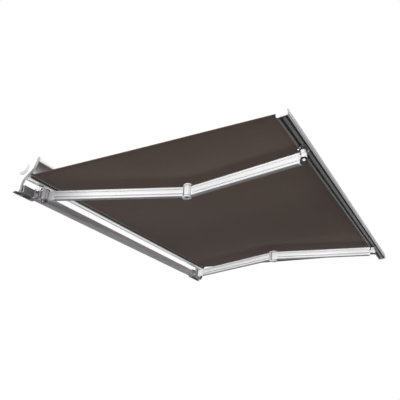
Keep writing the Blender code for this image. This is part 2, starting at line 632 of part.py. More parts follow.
def forearm():
    along = (HAND - ELBOW).normalized()
    both(knuckle("elbow_knuckle_left", ELBOW, along, ELBOW_R - 0.001, ELBOW_HALF, ELBOW_R + 0.003, ELBOW_CASTING_END, 0.0035))
    hand_end = FOREARM_LENGTH - HAND_CASTING_END
    both(arm_profile("forearm_left", ELBOW, along, ELBOW_CASTING_END + GAP, hand_end - GAP))
    both(knuckle("hand_knuckle_left", HAND, -along, HAND_R, HAND_HALF, HAND_CASTING_START, HAND_CASTING_END, -0.005))
    pin("elbow_pin_left", ELBOW, ELBOW_HALF + RUNNING_GAP + ELBOW_PLATE)


def hand_bracket():
    """Fork under the front bar; its slots let the pin slide along the bar."""
    def place(u, v, height):
        return HAND + Vector((u, 0, 0)) - OUTWARD * v + ARM_NORMAL * height
    low = HAND_HALF + RUNNING_GAP
    high = low + HAND_PLATE
    web_front = -(HAND_R + 0.011)
    web_back = -(HAND_R + 0.005)
    left = -HAND_R - 0.003 - HAND_SLOT_BACK
    right = HAND_R + 0.003 + HAND_SLOT
    edge = HAND_BRACKET_EDGE
    fork = solid("hand_bracket_left", rectangle(left, web_front, right, web_back), -high, high, place, "white")
    for sign in (-1, 1):
        lo, hi = sorted((sign * low, sign * high))
        plate = [(left, web_front), (right, web_front), (right, edge - 0.008), (right - 0.009, edge),
                 (left + 0.009, edge), (left, edge - 0.008)]
        join(fork, solid("plate", plate, lo, hi, place, "white"))
    slot = arc(-HAND_SLOT_BACK, 0, PIN_R + GAP, 90, 270, 8) + arc(HAND_SLOT, 0, PIN_R + GAP, -90, 90, 8)
    foot_top = FRONT_BOTTOM_Z - GAP
    seat = HAND.z + high - 0.006
    def upright(u, v, height):
        return Vector((HAND.x + u, HAND.y + v, height))
    join(fork, solid("foot", rectangle(left + 0.0004, web_front + 0.0004, right - 0.0004, HAND_R * 0.35), seat, foot_top, upright, "white"))
    pocket = arc(-HAND_SLOT_BACK, 0, PIN_HEAD_R + 0.001, 90, 270, 8) + arc(HAND_SLOT, 0, PIN_HEAD_R + 0.001, -90, 90, 8)
    slot_top = solid("slot", pocket, low + 0.004, low + 0.1, place, "white")
    cut(fork, solid("slot", slot, -high - 0.01, low + 0.0045, place, "white"), slot_top)
    both(fork)
    top = low + 0.004
    piece = rod("hand_pin_left", HAND - ARM_NORMAL * (high + GAP + PIN_HEAD), HAND + ARM_NORMAL * (top + 0.002), PIN_R, "steel", 16)
    head = rod("head", HAND + ARM_NORMAL * (top + GAP), HAND + ARM_NORMAL * (top + GAP + 0.004), PIN_HEAD_R, "steel", 16)
    foot = rod("foot", HAND - ARM_NORMAL * (high + GAP + PIN_HEAD), HAND - ARM_NORMAL * (high + GAP), PIN_HEAD_R, "steel", 16)
    join(piece, head, foot)
    both(piece)


def front_section(u, v, height):
    """Front bar section: u outwards from its back, v up from its bottom."""
    return Vector((height, FRONT_BACK_Y - u, FRONT_BOTTOM_Z + v))


def front_bar():
    depth, height = FRONT_DEPTH, FRONT_HEIGHT
    face_top = height * 0.62
    outline = [(0.000, 0.006), (0.0075, 0.000), (0.0075, 0.010), (0.0170, 0.010), (0.0170, 0.000), (0.0430, 0.000),
               (0.0430, 0.009), (0.0505, 0.009), (0.0505, 0.000), (depth, 0.000), (depth, face_top),
               (depth - 0.009, height), (0.0040, height), (0.000, height - 0.004),
               (0.000, height - 0.0055), (0.0040, height - 0.0055), (0.0040, height - 0.0035), (0.0125, height - 0.0035),
               (0.0125, height - 0.0120), (0.0040, height - 0.0120), (0.0040, height - 0.0095), (0.000, height - 0.0095)]
    bar = solid("front_bar", outline, -FRONT_HALF, FRONT_HALF, front_section, "white")
    wall = 0.0025
    void = [(0.0170 + wall, wall), (0.0430 - wall, wall), (0.0430 - wall, 0.009 + wall), (depth - wall, 0.009 + wall),
            (depth - wall, face_top - 0.001), (depth - 0.009 - wall, height - wall), (0.0125 + wall, height - wall),
            (0.0125 + wall, 0.010 + wall), (0.0170 + wall, 0.010 + wall)]
    cut(bar, solid("void", void, -2, 2, front_section, "white"))
    cap_outline = [(-0.0015, 0.004), (0.006, -0.0015), (depth + 0.0015, -0.0015), (depth + 0.0015, face_top),
                   (depth - 0.008, height + 0.0015), (0.003, height + 0.0015), (-0.0015, height - 0.003)]
    cap = solid("front_cap_left", cap_outline, -FRONT_HALF - FRONT_CAP, -FRONT_HALF - GAP, front_section, "white")
    both(cap)


def keder_centre():
    return FRONT_BACK_Y - 0.0082, FRONT_BOTTOM_Z + FRONT_HEIGHT - 0.0077


def fabric():
    """Cloth from the roll's underside to the front bar's groove, and the round keder in that groove."""
    half = FABRIC_WIDTH / 2
    keder_y, keder_z = keder_centre()
    rod("fabric_keder", (-half, keder_y, keder_z), (half, keder_y, keder_z), KEDER_R, "fabric", 12)
    end_y = keder_y + KEDER_R + GAP
    end_z = keder_z - 0.0008
    run = ROLLER_Y - end_y
    rise = ROLLER_Z - end_z
    span = math.hypot(run, rise)
    offset = ROLL_R + GAP + FABRIC_THICKNESS
    slope = math.atan2(rise, run) - math.asin(offset / span)
    tangent_y = ROLLER_Y + offset * math.sin(slope)
    tangent_z = ROLLER_Z - offset * math.cos(slope)
    across = (-math.sin(slope) * FABRIC_THICKNESS, math.cos(slope) * FABRIC_THICKNESS)
    low = [(end_y, end_z), (tangent_y, tangent_z)]
    outline = low + [(y + across[0], z + across[1]) for y, z in reversed(low)]
    solid("fabric", outline, -half, half, along_x, "fabric")


def build():
    clear_scene()
    torsion_bar()
    wall_bracket()
    end_cap()
    hood()
    lower_shell()
    roller()
    shoulder_parts()
    upper_arm()
    forearm()
    hand_bracket()
    front_bar()
    fabric()


build()
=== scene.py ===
import json
import math

import bmesh
import bpy
from mathutils import Matrix, Vector


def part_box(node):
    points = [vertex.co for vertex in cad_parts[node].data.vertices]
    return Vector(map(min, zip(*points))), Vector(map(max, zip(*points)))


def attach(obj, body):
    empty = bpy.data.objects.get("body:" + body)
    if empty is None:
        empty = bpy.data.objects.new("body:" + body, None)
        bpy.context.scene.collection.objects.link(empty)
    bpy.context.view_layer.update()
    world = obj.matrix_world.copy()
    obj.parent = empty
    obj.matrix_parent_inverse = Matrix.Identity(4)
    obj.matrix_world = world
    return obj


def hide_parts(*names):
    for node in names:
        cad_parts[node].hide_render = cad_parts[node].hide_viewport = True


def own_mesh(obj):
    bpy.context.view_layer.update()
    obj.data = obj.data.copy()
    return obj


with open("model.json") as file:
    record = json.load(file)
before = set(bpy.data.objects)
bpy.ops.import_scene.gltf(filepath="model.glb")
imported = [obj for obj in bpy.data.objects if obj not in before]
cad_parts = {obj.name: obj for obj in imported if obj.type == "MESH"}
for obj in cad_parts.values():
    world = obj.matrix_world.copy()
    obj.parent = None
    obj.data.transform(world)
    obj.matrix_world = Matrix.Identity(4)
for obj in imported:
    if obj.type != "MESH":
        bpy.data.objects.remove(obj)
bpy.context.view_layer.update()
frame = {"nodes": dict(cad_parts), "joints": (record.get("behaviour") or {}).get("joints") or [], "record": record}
nodes = frame["nodes"]
record = frame["record"]
bodyOf = {n: b for b, ns in record["behaviour"]["bodies"].items() for n in ns}
joints = {j["name"]: j for j in frame["joints"]}
bpy.ops.object.select_all(action="DESELECT")

# the awning's slope and the joints that the dressing needs
pitch = math.radians(4.6)
armUp = Vector((0, -math.sin(pitch), math.cos(pitch)))
shoulder = Vector(joints["shoulder_left_hinge"]["pos_m"])
elbow = Vector(joints["elbow_left_hinge"]["pos_m"])
hand = Vector(joints["hand_left_hinge"]["pos_m"])
rollerAxis = Vector(joints["roller_spin"]["pos_m"])

# camera and light

view = {
    "place": (-3.0176, -2.5749, -1.4999),
    "yaw": 0.53434,
    "pitch": 0.46228,
    "roll": 0.0007,
    "lens": 40.666,
    "floor": -2.62,
}


def addCamera():
    bpy.ops.object.camera_add(location=view["place"])
    cam = bpy.context.active_object
    cam.name = "camera"
    cam.data.lens = view["lens"]
    cam.data.sensor_width = 36
    cam.data.sensor_fit = "HORIZONTAL"
    cam.data.clip_end = 60
    look = Vector((math.cos(view["yaw"]) * math.cos(view["pitch"]),
                   math.sin(view["yaw"]) * math.cos(view["pitch"]), math.sin(view["pitch"])))
    turn = look.to_track_quat("-Z", "Y").to_matrix() @ Matrix.Rotation(view["roll"], 3, "Z")
    cam.rotation_euler = turn.to_euler()
    bpy.context.scene.camera = cam


def areaLight(name, place, target, size, power):
    bpy.ops.object.light_add(type="AREA", location=place)
    lamp = bpy.context.active_object
    lamp.name = name
    lamp.data.shape = "RECTANGLE"
    lamp.data.size = size[0]
    lamp.data.size_y = size[1]
    lamp.data.energy = power
    lamp.rotation_euler = (Vector(target) - Vector(place)).to_track_quat("-Z", "Y").to_euler()
    return lamp


studio = {
    "overhead": 0.95,   # light from straight above
    "around": 0.27,     # light from the horizon
    "below": 0.13,      # light from under the horizon
    "side": 6300.0,     # watts of the soft lamp on the left
    "sideFrom": (-26.0, -3.1, -1.85),
    "sideSize": (9.0, 1.4),
    "front": 250.0,     # watts of the soft lamp over the cloth
    "frontFrom": (1.6, -6.0, 5.2),
    "frontSize": (4.0, 2.0),
    "fill": 2.4,        # watts of a weak lamp under the cloth's right half
    "fillFrom": (1.5, -1.2, -2.3),
    "floorColour": (0.90, 0.90, 0.90, 1.0),
    "floorDim": (0.17, 0.17, 0.17, 1.0),
}


def addStudio():
    world = bpy.data.worlds.new("studio")
    bpy.context.scene.world = world
    world.use_nodes = True
    tree = world.node_tree
    tree.nodes.clear()
    out = tree.nodes.new("ShaderNodeOutputWorld")
    lit = tree.nodes.new("ShaderNodeBackground")
    seen = tree.nodes.new("ShaderNodeBackground")
    mix = tree.nodes.new("ShaderNodeMixShader")
    path = tree.nodes.new("ShaderNodeLightPath")
    coords = tree.nodes.new("ShaderNodeTexCoord")
    split = tree.nodes.new("ShaderNodeSeparateXYZ")
    tree.links.new(coords.outputs["Generated"], split.inputs[0])
    up = spread(tree, split.outputs["Z"], 0.02, 0.60, 0.0, studio["overhead"] - studio["around"])
    low = spread(tree, split.outputs["Z"], -0.3, 0.0, studio["below"], studio["around"])
    tree.links.new(mathNode(tree, "ADD", up, low), lit.inputs["Strength"])
    lit.inputs["Color"].default_value = (1, 1, 1, 1)
    seen.inputs["Color"].default_value = (1, 1, 1, 1)
    seen.inputs["Strength"].default_value = 1.0
    shown = mathNode(tree, "MAXIMUM", path.outputs["Is Camera Ray"], path.outputs["Is Transmission Ray"])
    shown = mathNode(tree, "MAXIMUM", shown, path.outputs["Is Glossy Ray"])
    tree.links.new(shown, mix.inputs["Fac"])
    tree.links.new(lit.outputs[0], mix.inputs[1])
    tree.links.new(seen.outputs[0], mix.inputs[2])
    tree.links.new(mix.outputs[0], out.inputs["Surface"])

    bpy.ops.mesh.primitive_plane_add(size=60, location=(0, 0, view["floor"]))
    floor = bpy.context.active_object
    floor.name = "studio_floor"
    mat = bpy.data.materials.new("studioFloor")
    mat.use_nodes = True
    tree = mat.node_tree
    shader = tree.nodes["Principled BSDF"]
    shader.inputs["Roughness"].default_value = 0.9
    shader.inputs["Specular IOR Level"].default_value = 0.1
    path = tree.nodes.new("ShaderNodeLightPath")
    tint = tree.nodes.new("ShaderNodeMix")
    tint.data_type = "RGBA"
    tint.inputs["A"].default_value = studio["floorDim"]
    tint.inputs["B"].default_value = studio["floorColour"]
    shown = mathNode(tree, "MAXIMUM", path.outputs["Is Camera Ray"], path.outputs["Is Transmission Ray"])
    shown = mathNode(tree, "MAXIMUM", shown, path.outputs["Is Glossy Ray"])
    tree.links.new(shown, tint.inputs["Factor"])
    tree.links.new(tint.outputs["Result"], shader.inputs["Base Color"])
    clear = tree.nodes.new("ShaderNodeBsdfTransparent")
    mix = tree.nodes.new("ShaderNodeMixShader")
    back = tree.nodes.new("ShaderNodeNewGeometry")
    tree.links.new(back.outputs["Backfacing"], mix.inputs["Fac"])
    tree.links.new(shader.outputs[0], mix.inputs[1])
    tree.links.new(clear.outputs[0], mix.inputs[2])
    tree.links.new(mix.outputs[0], tree.nodes["Material Output"].inputs["Surface"])
    floor.data.materials.append(mat)

    areaLight("side_light", studio["sideFrom"], (0, -0.9, -0.1), studio["sideSize"], studio["side"])
    areaLight("fill_light", studio["fillFrom"], (0.9, -1.2, 0.0), (1.4, 1.4), studio["fill"])
    areaLight("front_light", studio["frontFrom"], (0, -0.6, 0.1), studio["frontSize"], studio["front"])
    bpy.context.scene.view_settings.view_transform = "Standard"


# shader groups

def newGroup(name, inputs, outputs):
    group = bpy.data.node_groups.new(name, "ShaderNodeTree")
    for title, kind, value in inputs:
        made = group.interface.new_socket(title, in_out="INPUT", socket_type=kind)
        made.default_value = value
    for title, kind in outputs:
        group.interface.new_socket(title, in_out="OUTPUT", socket_type=kind)
    return group, group.nodes.new("NodeGroupInput"), group.nodes.new("NodeGroupOutput")


def mathNode(tree, operation, a, b=None, c=None):
    made = tree.nodes.new("ShaderNodeMath")
    made.operation = operation
    for k, value in enumerate((a, b, c)):
        if value is None:
            continue
        if isinstance(value, (int, float)):
            made.inputs[k].default_value = value
        else:
            tree.links.new(value, made.inputs[k])
    return made.outputs[0]


def noiseNode(tree, vector, scale, detail=2.0, rough=0.5):
    made = tree.nodes.new("ShaderNodeTexNoise")
    if isinstance(scale, (int, float)):
        made.inputs["Scale"].default_value = scale
    else:
        tree.links.new(scale, made.inputs["Scale"])
    made.inputs["Detail"].default_value = detail
    made.inputs["Roughness"].default_value = rough
    if vector is not None:
        tree.links.new(vector, made.inputs["Vector"])
    return made.outputs["Fac"]


def spread(tree, value, low, high, toLow, toHigh):
    made = tree.nodes.new("ShaderNodeMapRange")
    tree.links.new(value, made.inputs["Value"])
    for title, given in (("From Min", low), ("From Max", high), ("To Min", toLow), ("To Max", toHigh)):
        if isinstance(given, (int, float)):
            made.inputs[title].default_value = given
        else:
            tree.links.new(given, made.inputs[title])
    return made.outputs["Result"]


def mixColour(tree, factor, a, b, blend="MIX"):
    made = tree.nodes.new("ShaderNodeMix")
    made.data_type = "RGBA"
    made.blend_type = blend
    for title, value in (("Factor", factor), ("A", a), ("B", b)):
        socket = made.inputs[title]
        if isinstance(value, (int, float, tuple)):
            socket.default_value = value
        else:
            tree.links.new(value, socket)
    return made.outputs["Result"]


addCamera()
addStudio()
print("camera and studio set")


def edgeWearGroup():
    # brighter, rubbed edges: where the rounded normal leaves the face's own
    group, given, result = newGroup("edgeWear", [
        ("Radius", "NodeSocketFloat", 0.0015), ("Patchiness", "NodeSocketFloat", 40.0)],
        [("Mask", "NodeSocketFloat")])
    bevel = group.nodes.new("ShaderNodeBevel")
    bevel.samples = 4
    group.links.new(given.outputs["Radius"], bevel.inputs["Radius"])
    own = group.nodes.new("ShaderNodeNewGeometry")
    dot = group.nodes.new("ShaderNodeVectorMath")
    dot.operation = "DOT_PRODUCT"
    group.links.new(bevel.outputs["Normal"], dot.inputs[0])
    group.links.new(own.outputs["Normal"], dot.inputs[1])
    edge = spread(group, dot.outputs["Value"], 0.995, 0.80, 0.0, 1.0)
    coords = group.nodes.new("ShaderNodeTexCoord")
    patch = noiseNode(group, coords.outputs["Object"], given.outputs["Patchiness"], 3.0, 0.6)
    patch = spread(group, patch, 0.40, 0.62, 0.0, 1.0)
    group.links.new(mathNode(group, "MULTIPLY", edge, patch), result.inputs["Mask"])
    return group


def paintGrainGroup():
    # orange peel of powder coat: a fine and a broad wave
    group, given, result = newGroup("paintGrain", [
        ("Scale", "NodeSocketFloat", 700.0)], [("Height", "NodeSocketFloat"), ("Sheen", "NodeSocketFloat")])
    coords = group.nodes.new("ShaderNodeTexCoord")
    fine = noiseNode(group, coords.outputs["Object"], given.outputs["Scale"], 2.0, 0.45)
    wide = mathNode(group, "MULTIPLY", given.outputs["Scale"], 0.22)
    broad = noiseNode(group, coords.outputs["Object"], wide, 2.0, 0.5)
    total = mathNode(group, "MULTIPLY_ADD", broad, 0.6, mathNode(group, "MULTIPLY", fine, 0.4))
    group.links.new(total, result.inputs["Height"])
    haze = noiseNode(group, coords.outputs["Object"], 9.0, 4.0, 0.55)
    group.links.new(spread(group, haze, 0.3, 0.7, 0.0, 1.0), result.inputs["Sheen"])
    return group


def dustGroup():
    # weather film: soft patches and faint runs down the faces
    group, given, result = newGroup("weatherFilm", [
        ("Amount", "NodeSocketFloat", 0.08)], [("Mask", "NodeSocketFloat")])
    coords = group.nodes.new("ShaderNodeTexCoord")
    stretch = group.nodes.new("ShaderNodeMapping")
    stretch.inputs["Scale"].default_value = (26.0, 26.0, 3.0)
    group.links.new(coords.outputs["Object"], stretch.inputs["Vector"])
    runs = noiseNode(group, stretch.outputs["Vector"], 1.0, 3.0, 0.6)
    patch = noiseNode(group, coords.outputs["Object"], 3.2, 5.0, 0.6)
    total = mathNode(group, "MULTIPLY", spread(group, runs, 0.42, 0.72, 0.0, 1.0),
                     spread(group, patch, 0.35, 0.7, 0.2, 1.0))
    group.links.new(mathNode(group, "MULTIPLY", total, given.outputs["Amount"]), result.inputs["Mask"])
    return group


def weaveGroup():
    # plain weave of round threads, from a UV map in metres
    group, given, result = newGroup("canvasWeave", [
        ("Thread", "NodeSocketFloat", 0.0011)],
        [("Height", "NodeSocketFloat"), ("Shade", "NodeSocketFloat"), ("Slub", "NodeSocketFloat")])
    uv = group.nodes.new("ShaderNodeUVMap")
    uv.uv_map = "cloth"
    split = group.nodes.new("ShaderNodeSeparateXYZ")
    group.links.new(uv.outputs["UV"], split.inputs[0])
    across = mathNode(group, "DIVIDE", split.outputs["X"], given.outputs["Thread"])
    along = mathNode(group, "DIVIDE", split.outputs["Y"], given.outputs["Thread"])
    waves = []
    for way in (across, along):
        turn = mathNode(group, "MULTIPLY", way, math.pi)
        waves.append(mathNode(group, "ABSOLUTE", mathNode(group, "SINE", turn)))
    warp, weft = waves
    cell = mathNode(group, "ADD", mathNode(group, "FLOOR", across), mathNode(group, "FLOOR", along))
    over = mathNode(group, "MODULO", mathNode(group, "ABSOLUTE", cell), 2.0)
    over = mathNode(group, "GREATER_THAN", over, 0.5)
    high = mathNode(group, "MULTIPLY", warp, mathNode(group, "MULTIPLY_ADD", over, 0.55, 0.45))
    low = mathNode(group, "MULTIPLY", weft, mathNode(group, "MULTIPLY_ADD", over, -0.55, 1.0))
    height = mathNode(group, "MAXIMUM", high, low)
    group.links.new(height, result.inputs["Height"])
    group.links.new(spread(group, height, 0.2, 1.0, 0.0, 1.0), result.inputs["Shade"])
    lines = group.nodes.new("ShaderNodeCombineXYZ")
    group.links.new(mathNode(group, "MULTIPLY", across, 0.9), lines.inputs["X"])
    group.links.new(mathNode(group, "MULTIPLY", along, 0.012), lines.inputs["Y"])
    group.links.new(noiseNode(group, lines.outputs["Vector"], 1.0, 1.0, 0.5), result.inputs["Slub"])
    return group


groups = {"edge": edgeWearGroup(), "grain": paintGrainGroup(), "film": dustGroup(), "weave": weaveGroup()}


def place(tree, key, **values):
    made = tree.nodes.new("ShaderNodeGroup")
    made.node_tree = groups[key]
    for title, value in values.items():
        made.inputs[title].default_value = value
    return made


def bump(tree, height, strength, distance):
    made = tree.nodes.new("ShaderNodeBump")
    made.inputs["Strength"].default_value = strength
    made.inputs["Distance"].default_value = distance
    tree.links.new(height, made.inputs["Height"])
    return made.outputs["Normal"]


def newMaterial(name):
    mat = bpy.data.materials.new(name)
    mat.use_nodes = True
    return mat, mat.node_tree, mat.node_tree.nodes["Principled BSDF"]


# materials

paint = {
    "colour": (0.80, 0.80, 0.81, 1.0),
    "film": (0.60, 0.59, 0.57, 1.0),
    "worn": (0.90, 0.90, 0.90, 1.0),
    "rough": (0.30, 0.42),
}


def paintMaterial(name, colour, wear=0.35, film=0.10):
    mat, tree, shader = newMaterial(name)
    edge = place(tree, "edge", Radius=0.0014, Patchiness=38.0)
    grain = place(tree, "grain", Scale=620.0)
    dust = place(tree, "film", Amount=film)
    base = mixColour(tree, dust.outputs["Mask"], colour, paint["film"])
    base = mixColour(tree, mathNode(tree, "MULTIPLY", edge.outputs["Mask"], wear), base, paint["worn"])
    tree.links.new(base, shader.inputs["Base Color"])
    tree.links.new(spread(tree, grain.outputs["Sheen"], 0.0, 1.0, *paint["rough"]),
                   shader.inputs["Roughness"])
    tree.links.new(bump(tree, grain.outputs["Height"], 0.22, 0.0006), shader.inputs["Normal"])
    shader.inputs["Specular IOR Level"].default_value = 0.5
    return mat


def armShadeGradientMaterial(name, colour, darkTone, near, far):
    # painted shade: the paint darkens towards the wall on the arm's outer side, standing in for the shade near the
    # shoulder
    mat = paintMaterial(name, colour)
    tree = mat.node_tree
    shader = tree.nodes["Principled BSDF"]
    link = shader.inputs["Base Color"].links[0]
    clean = link.from_socket
    coords = tree.nodes.new("ShaderNodeTexCoord")
    split = tree.nodes.new("ShaderNodeSeparateXYZ")
    tree.links.new(coords.outputs["Object"], split.inputs[0])
    share = spread(tree, split.outputs["Y"], far, near, 0.0, 1.0)
    facing = tree.nodes.new("ShaderNodeSeparateXYZ")
    tree.links.new(coords.outputs["Normal"], facing.inputs[0])
    outer = mathNode(tree, "MULTIPLY", split.outputs["X"], facing.outputs["X"])
    share = mathNode(tree, "MULTIPLY", share, spread(tree, outer, 0.0, 0.5, 0.0, 1.0))
    shadeBreakup = noiseNode(tree, coords.outputs["Object"], 14.0, 3.0, 0.6)
    share = mathNode(tree, "MULTIPLY", share, spread(tree, shadeBreakup, 0.2, 0.7, 0.93, 1.0))
    mixed = mixColour(tree, share, (1, 1, 1, 1), darkTone)
    tree.links.new(mixColour(tree, 1.0, clean, mixed, "MULTIPLY"), shader.inputs["Base Color"])
    return mat


def metalMaterial(name, colour, rough, scale, stretch=(1.0, 1.0, 1.0)):
    mat, tree, shader = newMaterial(name)
    coords = tree.nodes.new("ShaderNodeTexCoord")
    mapping = tree.nodes.new("ShaderNodeMapping")
    mapping.inputs["Scale"].default_value = stretch
    tree.links.new(coords.outputs["Object"], mapping.inputs["Vector"])
    lines = noiseNode(tree, mapping.outputs["Vector"], scale, 3.0, 0.6)
    darkTone = noiseNode(tree, coords.outputs["Object"], 34.0, 3.0, 0.6)
    dark = tuple(c * 0.72 for c in colour[:3]) + (1.0,)
    base = mixColour(tree, spread(tree, darkTone, 0.35, 0.68, 0.0, 0.55), colour, dark)
    tree.links.new(base, shader.inputs["Base Color"])
    shader.inputs["Metallic"].default_value = 1.0
    tree.links.new(spread(tree, lines, 0.3, 0.7, rough * 0.8, rough * 1.3), shader.inputs["Roughness"])
    tree.links.new(bump(tree, lines, 0.12, 0.0003), shader.inputs["Normal"])
    return mat


def satinMaterial(name, colour, rough):
    # anodised profile: fine lines along the extrusion and a soft haze
    mat, tree, shader = newMaterial(name)
    coords = tree.nodes.new("ShaderNodeTexCoord")
    mapping = tree.nodes.new("ShaderNodeMapping")
    mapping.inputs["Scale"].default_value = (0.8, 900.0, 900.0)
    tree.links.new(coords.outputs["Object"], mapping.inputs["Vector"])
    lines = noiseNode(tree, mapping.outputs["Vector"], 1.0, 2.0, 0.5)
    dust = place(tree, "film", Amount=0.16)
    base = mixColour(tree, dust.outputs["Mask"], colour, (0.46, 0.45, 0.44, 1.0))
    tree.links.new(base, shader.inputs["Base Color"])
    shader.inputs["Metallic"].default_value = 0.92
    haze = place(tree, "grain", Scale=500.0)
    tree.links.new(spread(tree, haze.outputs["Sheen"], 0.0, 1.0, rough, rough + 0.10),
                   shader.inputs["Roughness"])
    tree.links.new(bump(tree, lines, 0.05, 0.0002), shader.inputs["Normal"])
    return mat


def plasticMaterial(name, colour, rough):
    mat, tree, shader = newMaterial(name)
    edge = place(tree, "edge", Radius=0.0010, Patchiness=70.0)
    grain = place(tree, "grain", Scale=1300.0)
    dust = place(tree, "film", Amount=0.22)
    base = mixColour(tree, dust.outputs["Mask"], colour, (0.16, 0.15, 0.14, 1.0))
    base = mixColour(tree, mathNode(tree, "MULTIPLY", edge.outputs["Mask"], 0.30), base,
                     (0.10, 0.10, 0.10, 1.0))
    tree.links.new(base, shader.inputs["Base Color"])
    tree.links.new(spread(tree, grain.outputs["Sheen"], 0.0, 1.0, rough, rough + 0.14),
                   shader.inputs["Roughness"])
    tree.links.new(bump(tree, grain.outputs["Height"], 0.30, 0.0005), shader.inputs["Normal"])
    return mat


canvasLook = {
    "warp": (0.236, 0.174, 0.147, 1.0),
    "weft": (0.165, 0.122, 0.104, 1.0),
    "thread": 0.0012,
}


def canvasMaterial(name):
    mat, tree, shader = newMaterial(name)
    weave = place(tree, "weave", Thread=canvasLook["thread"])
    base = mixColour(tree, weave.outputs["Shade"], canvasLook["weft"], canvasLook["warp"])
    slub = spread(tree, weave.outputs["Slub"], 0.35, 0.65, 0.93, 1.05)
    coords = tree.nodes.new("ShaderNodeTexCoord")
    cloud = spread(tree, noiseNode(tree, coords.outputs["Object"], 1.1, 4.0, 0.5), 0.3, 0.7, 0.96, 1.04)
    tone = mathNode(tree, "MULTIPLY", slub, cloud)
    grey = tree.nodes.new("ShaderNodeCombineColor")
    for k in range(3):
        tree.links.new(tone, grey.inputs[k])
    base = mixColour(tree, 1.0, base, grey.outputs["Color"], "MULTIPLY")
    tree.links.new(base, shader.inputs["Base Color"])
    shader.inputs["Roughness"].default_value = 0.92
    shader.inputs["Specular IOR Level"].default_value = 0.15
    shader.inputs["Sheen Weight"].default_value = 0.08
    shader.inputs["Sheen Roughness"].default_value = 0.5
    tree.links.new(bump(tree, weave.outputs["Height"], 0.35, 0.0004), shader.inputs["Normal"])
    return mat


mats = {
    "white": paintMaterial("whitePowderCoat", paint["colour"]),
    # upper arm paint with painted shade towards the wall
    "upperArm": armShadeGradientMaterial("upperArmPaintedShade", paint["colour"], (0.20, 0.19, 0.20, 1.0), -0.13, -0.50),
    "casting": paintMaterial("whiteCastPaint", (0.76, 0.76, 0.77, 1.0), 0.45, 0.14),
    "paleCasting": paintMaterial("paleCastPaint", (0.17, 0.165, 0.17, 1.0), 0.40, 0.16),
    # painted shade: a darker copy of the bar's paint for its downward faces
    "barUnder": paintMaterial("barUndersidePaintedShade", (0.43, 0.42, 0.435, 1.0), 0.30, 0.10),
    "greyCasting": paintMaterial("greyCastPaint", (0.19, 0.185, 0.19, 1.0), 0.30, 0.20),
    "darkCasting": paintMaterial("darkCastPaint", (0.060, 0.056, 0.057, 1.0), 0.30, 0.20),
    "frontPaint": paintMaterial("frontBarPaint", (0.33, 0.32, 0.33, 1.0), 0.35, 0.14),
    # painted shade for the arms' undersides and groove floors
    "under": paintMaterial("undersidePaintedShade", (0.20, 0.195, 0.20, 1.0), 0.20, 0.25),
    "grooveFloorShade": paintMaterial("grooveShade", (0.13, 0.13, 0.135, 1.0), 0.10, 0.20),
    "barPaint": paintMaterial("barPowderCoat", (0.80, 0.78, 0.80, 1.0), 0.30, 0.10),
    "satin": satinMaterial("satinAluminium", (0.78, 0.77, 0.78, 1.0), 0.30),
    "zinc": metalMaterial("zincSteel", (0.62, 0.62, 0.63, 1.0), 0.30, 260.0),
    "brightZinc": metalMaterial("brightZinc", (0.92, 0.92, 0.92, 1.0), 0.32, 260.0),
    "mill": metalMaterial("millAluminium", (0.58, 0.58, 0.60, 1.0), 0.36, 180.0, (0.05, 1.0, 1.0)),
    "inside": paintMaterial("insideGrey", (0.78, 0.81, 0.85, 1.0), 0.10, 0.15),
    "black": plasticMaterial("blackPlastic", (0.018, 0.018, 0.019, 1.0), 0.42),
    "gasket": plasticMaterial("blackGasket", (0.006, 0.006, 0.006, 1.0), 0.80),
    # painted shade for the front bar's underside
    "barShade": paintMaterial("frontBarUndersideShade", (0.120, 0.114, 0.118, 1.0), 0.25, 0.14),
    "strip": plasticMaterial("darkStrip", (0.110, 0.106, 0.104, 1.0), 0.60),
    "comb": plasticMaterial("greyPlastic", (0.36, 0.35, 0.345, 1.0), 0.50),
    "canvas": canvasMaterial("taupeCanvas"),
}
print("materials made:", ", ".join(sorted(mats)))

# modelling helpers

def onlyThis(piece):
    bpy.ops.object.select_all(action="DESELECT")
    piece.select_set(True)
    bpy.context.view_layer.objects.active = piece


def smooth(piece, angle=32):
    onlyThis(piece)
    bpy.ops.object.shade_smooth_by_angle(angle=math.radians(angle))


def applyAll(piece):
    onlyThis(piece)
    for step in list(piece.modifiers):
        bpy.ops.object.modifier_apply(modifier=step.name)


def roundEdges(piece, width, steps=2, angle=30):
    rounding = piece.modifiers.new("rounding", "BEVEL")
    rounding.width = width
    rounding.segments = steps
    rounding.limit_method = "ANGLE"
    rounding.angle_limit = math.radians(angle)
    rounding.use_clamp_overlap = True
    applyAll(piece)


def outward(piece):
    onlyThis(piece)
    bpy.ops.object.mode_set(mode="EDIT")
    bpy.ops.mesh.select_all(action="SELECT")
    bpy.ops.mesh.remove_doubles(threshold=0.000005)
    bpy.ops.mesh.normals_make_consistent(inside=False)
    bpy.ops.object.mode_set(mode="OBJECT")


def profile(title, outline, start, uDir, vDir, run):
    # a filled circle whose corners are moved onto the section, then extruded along the run
    bpy.ops.object.select_all(action="DESELECT")
    bpy.ops.mesh.primitive_circle_add(vertices=len(outline), fill_type="NGON")
    piece = bpy.context.active_object
    piece.name = title
    for v, (a, b) in zip(piece.data.vertices, outline):
        v.co = Vector(start) + Vector(uDir) * a + Vector(vDir) * b
    bpy.ops.object.mode_set(mode="EDIT")
    bpy.ops.mesh.select_all(action="SELECT")
    bpy.ops.mesh.extrude_region_move(TRANSFORM_OT_translate={"value": tuple(run)})
    bpy.ops.object.mode_set(mode="OBJECT")
    outward(piece)
    return piece


def rail(title, outline, first, last):
    # a section that runs along the awning's width
    return profile(title, outline, (first, 0, 0), wayY, wayZ, (last - first, 0, 0))


def joinAll(parts):
    onlyThis(parts[0])
    for part in parts[1:]:
        part.select_set(True)
    bpy.ops.object.join()
    return parts[0]


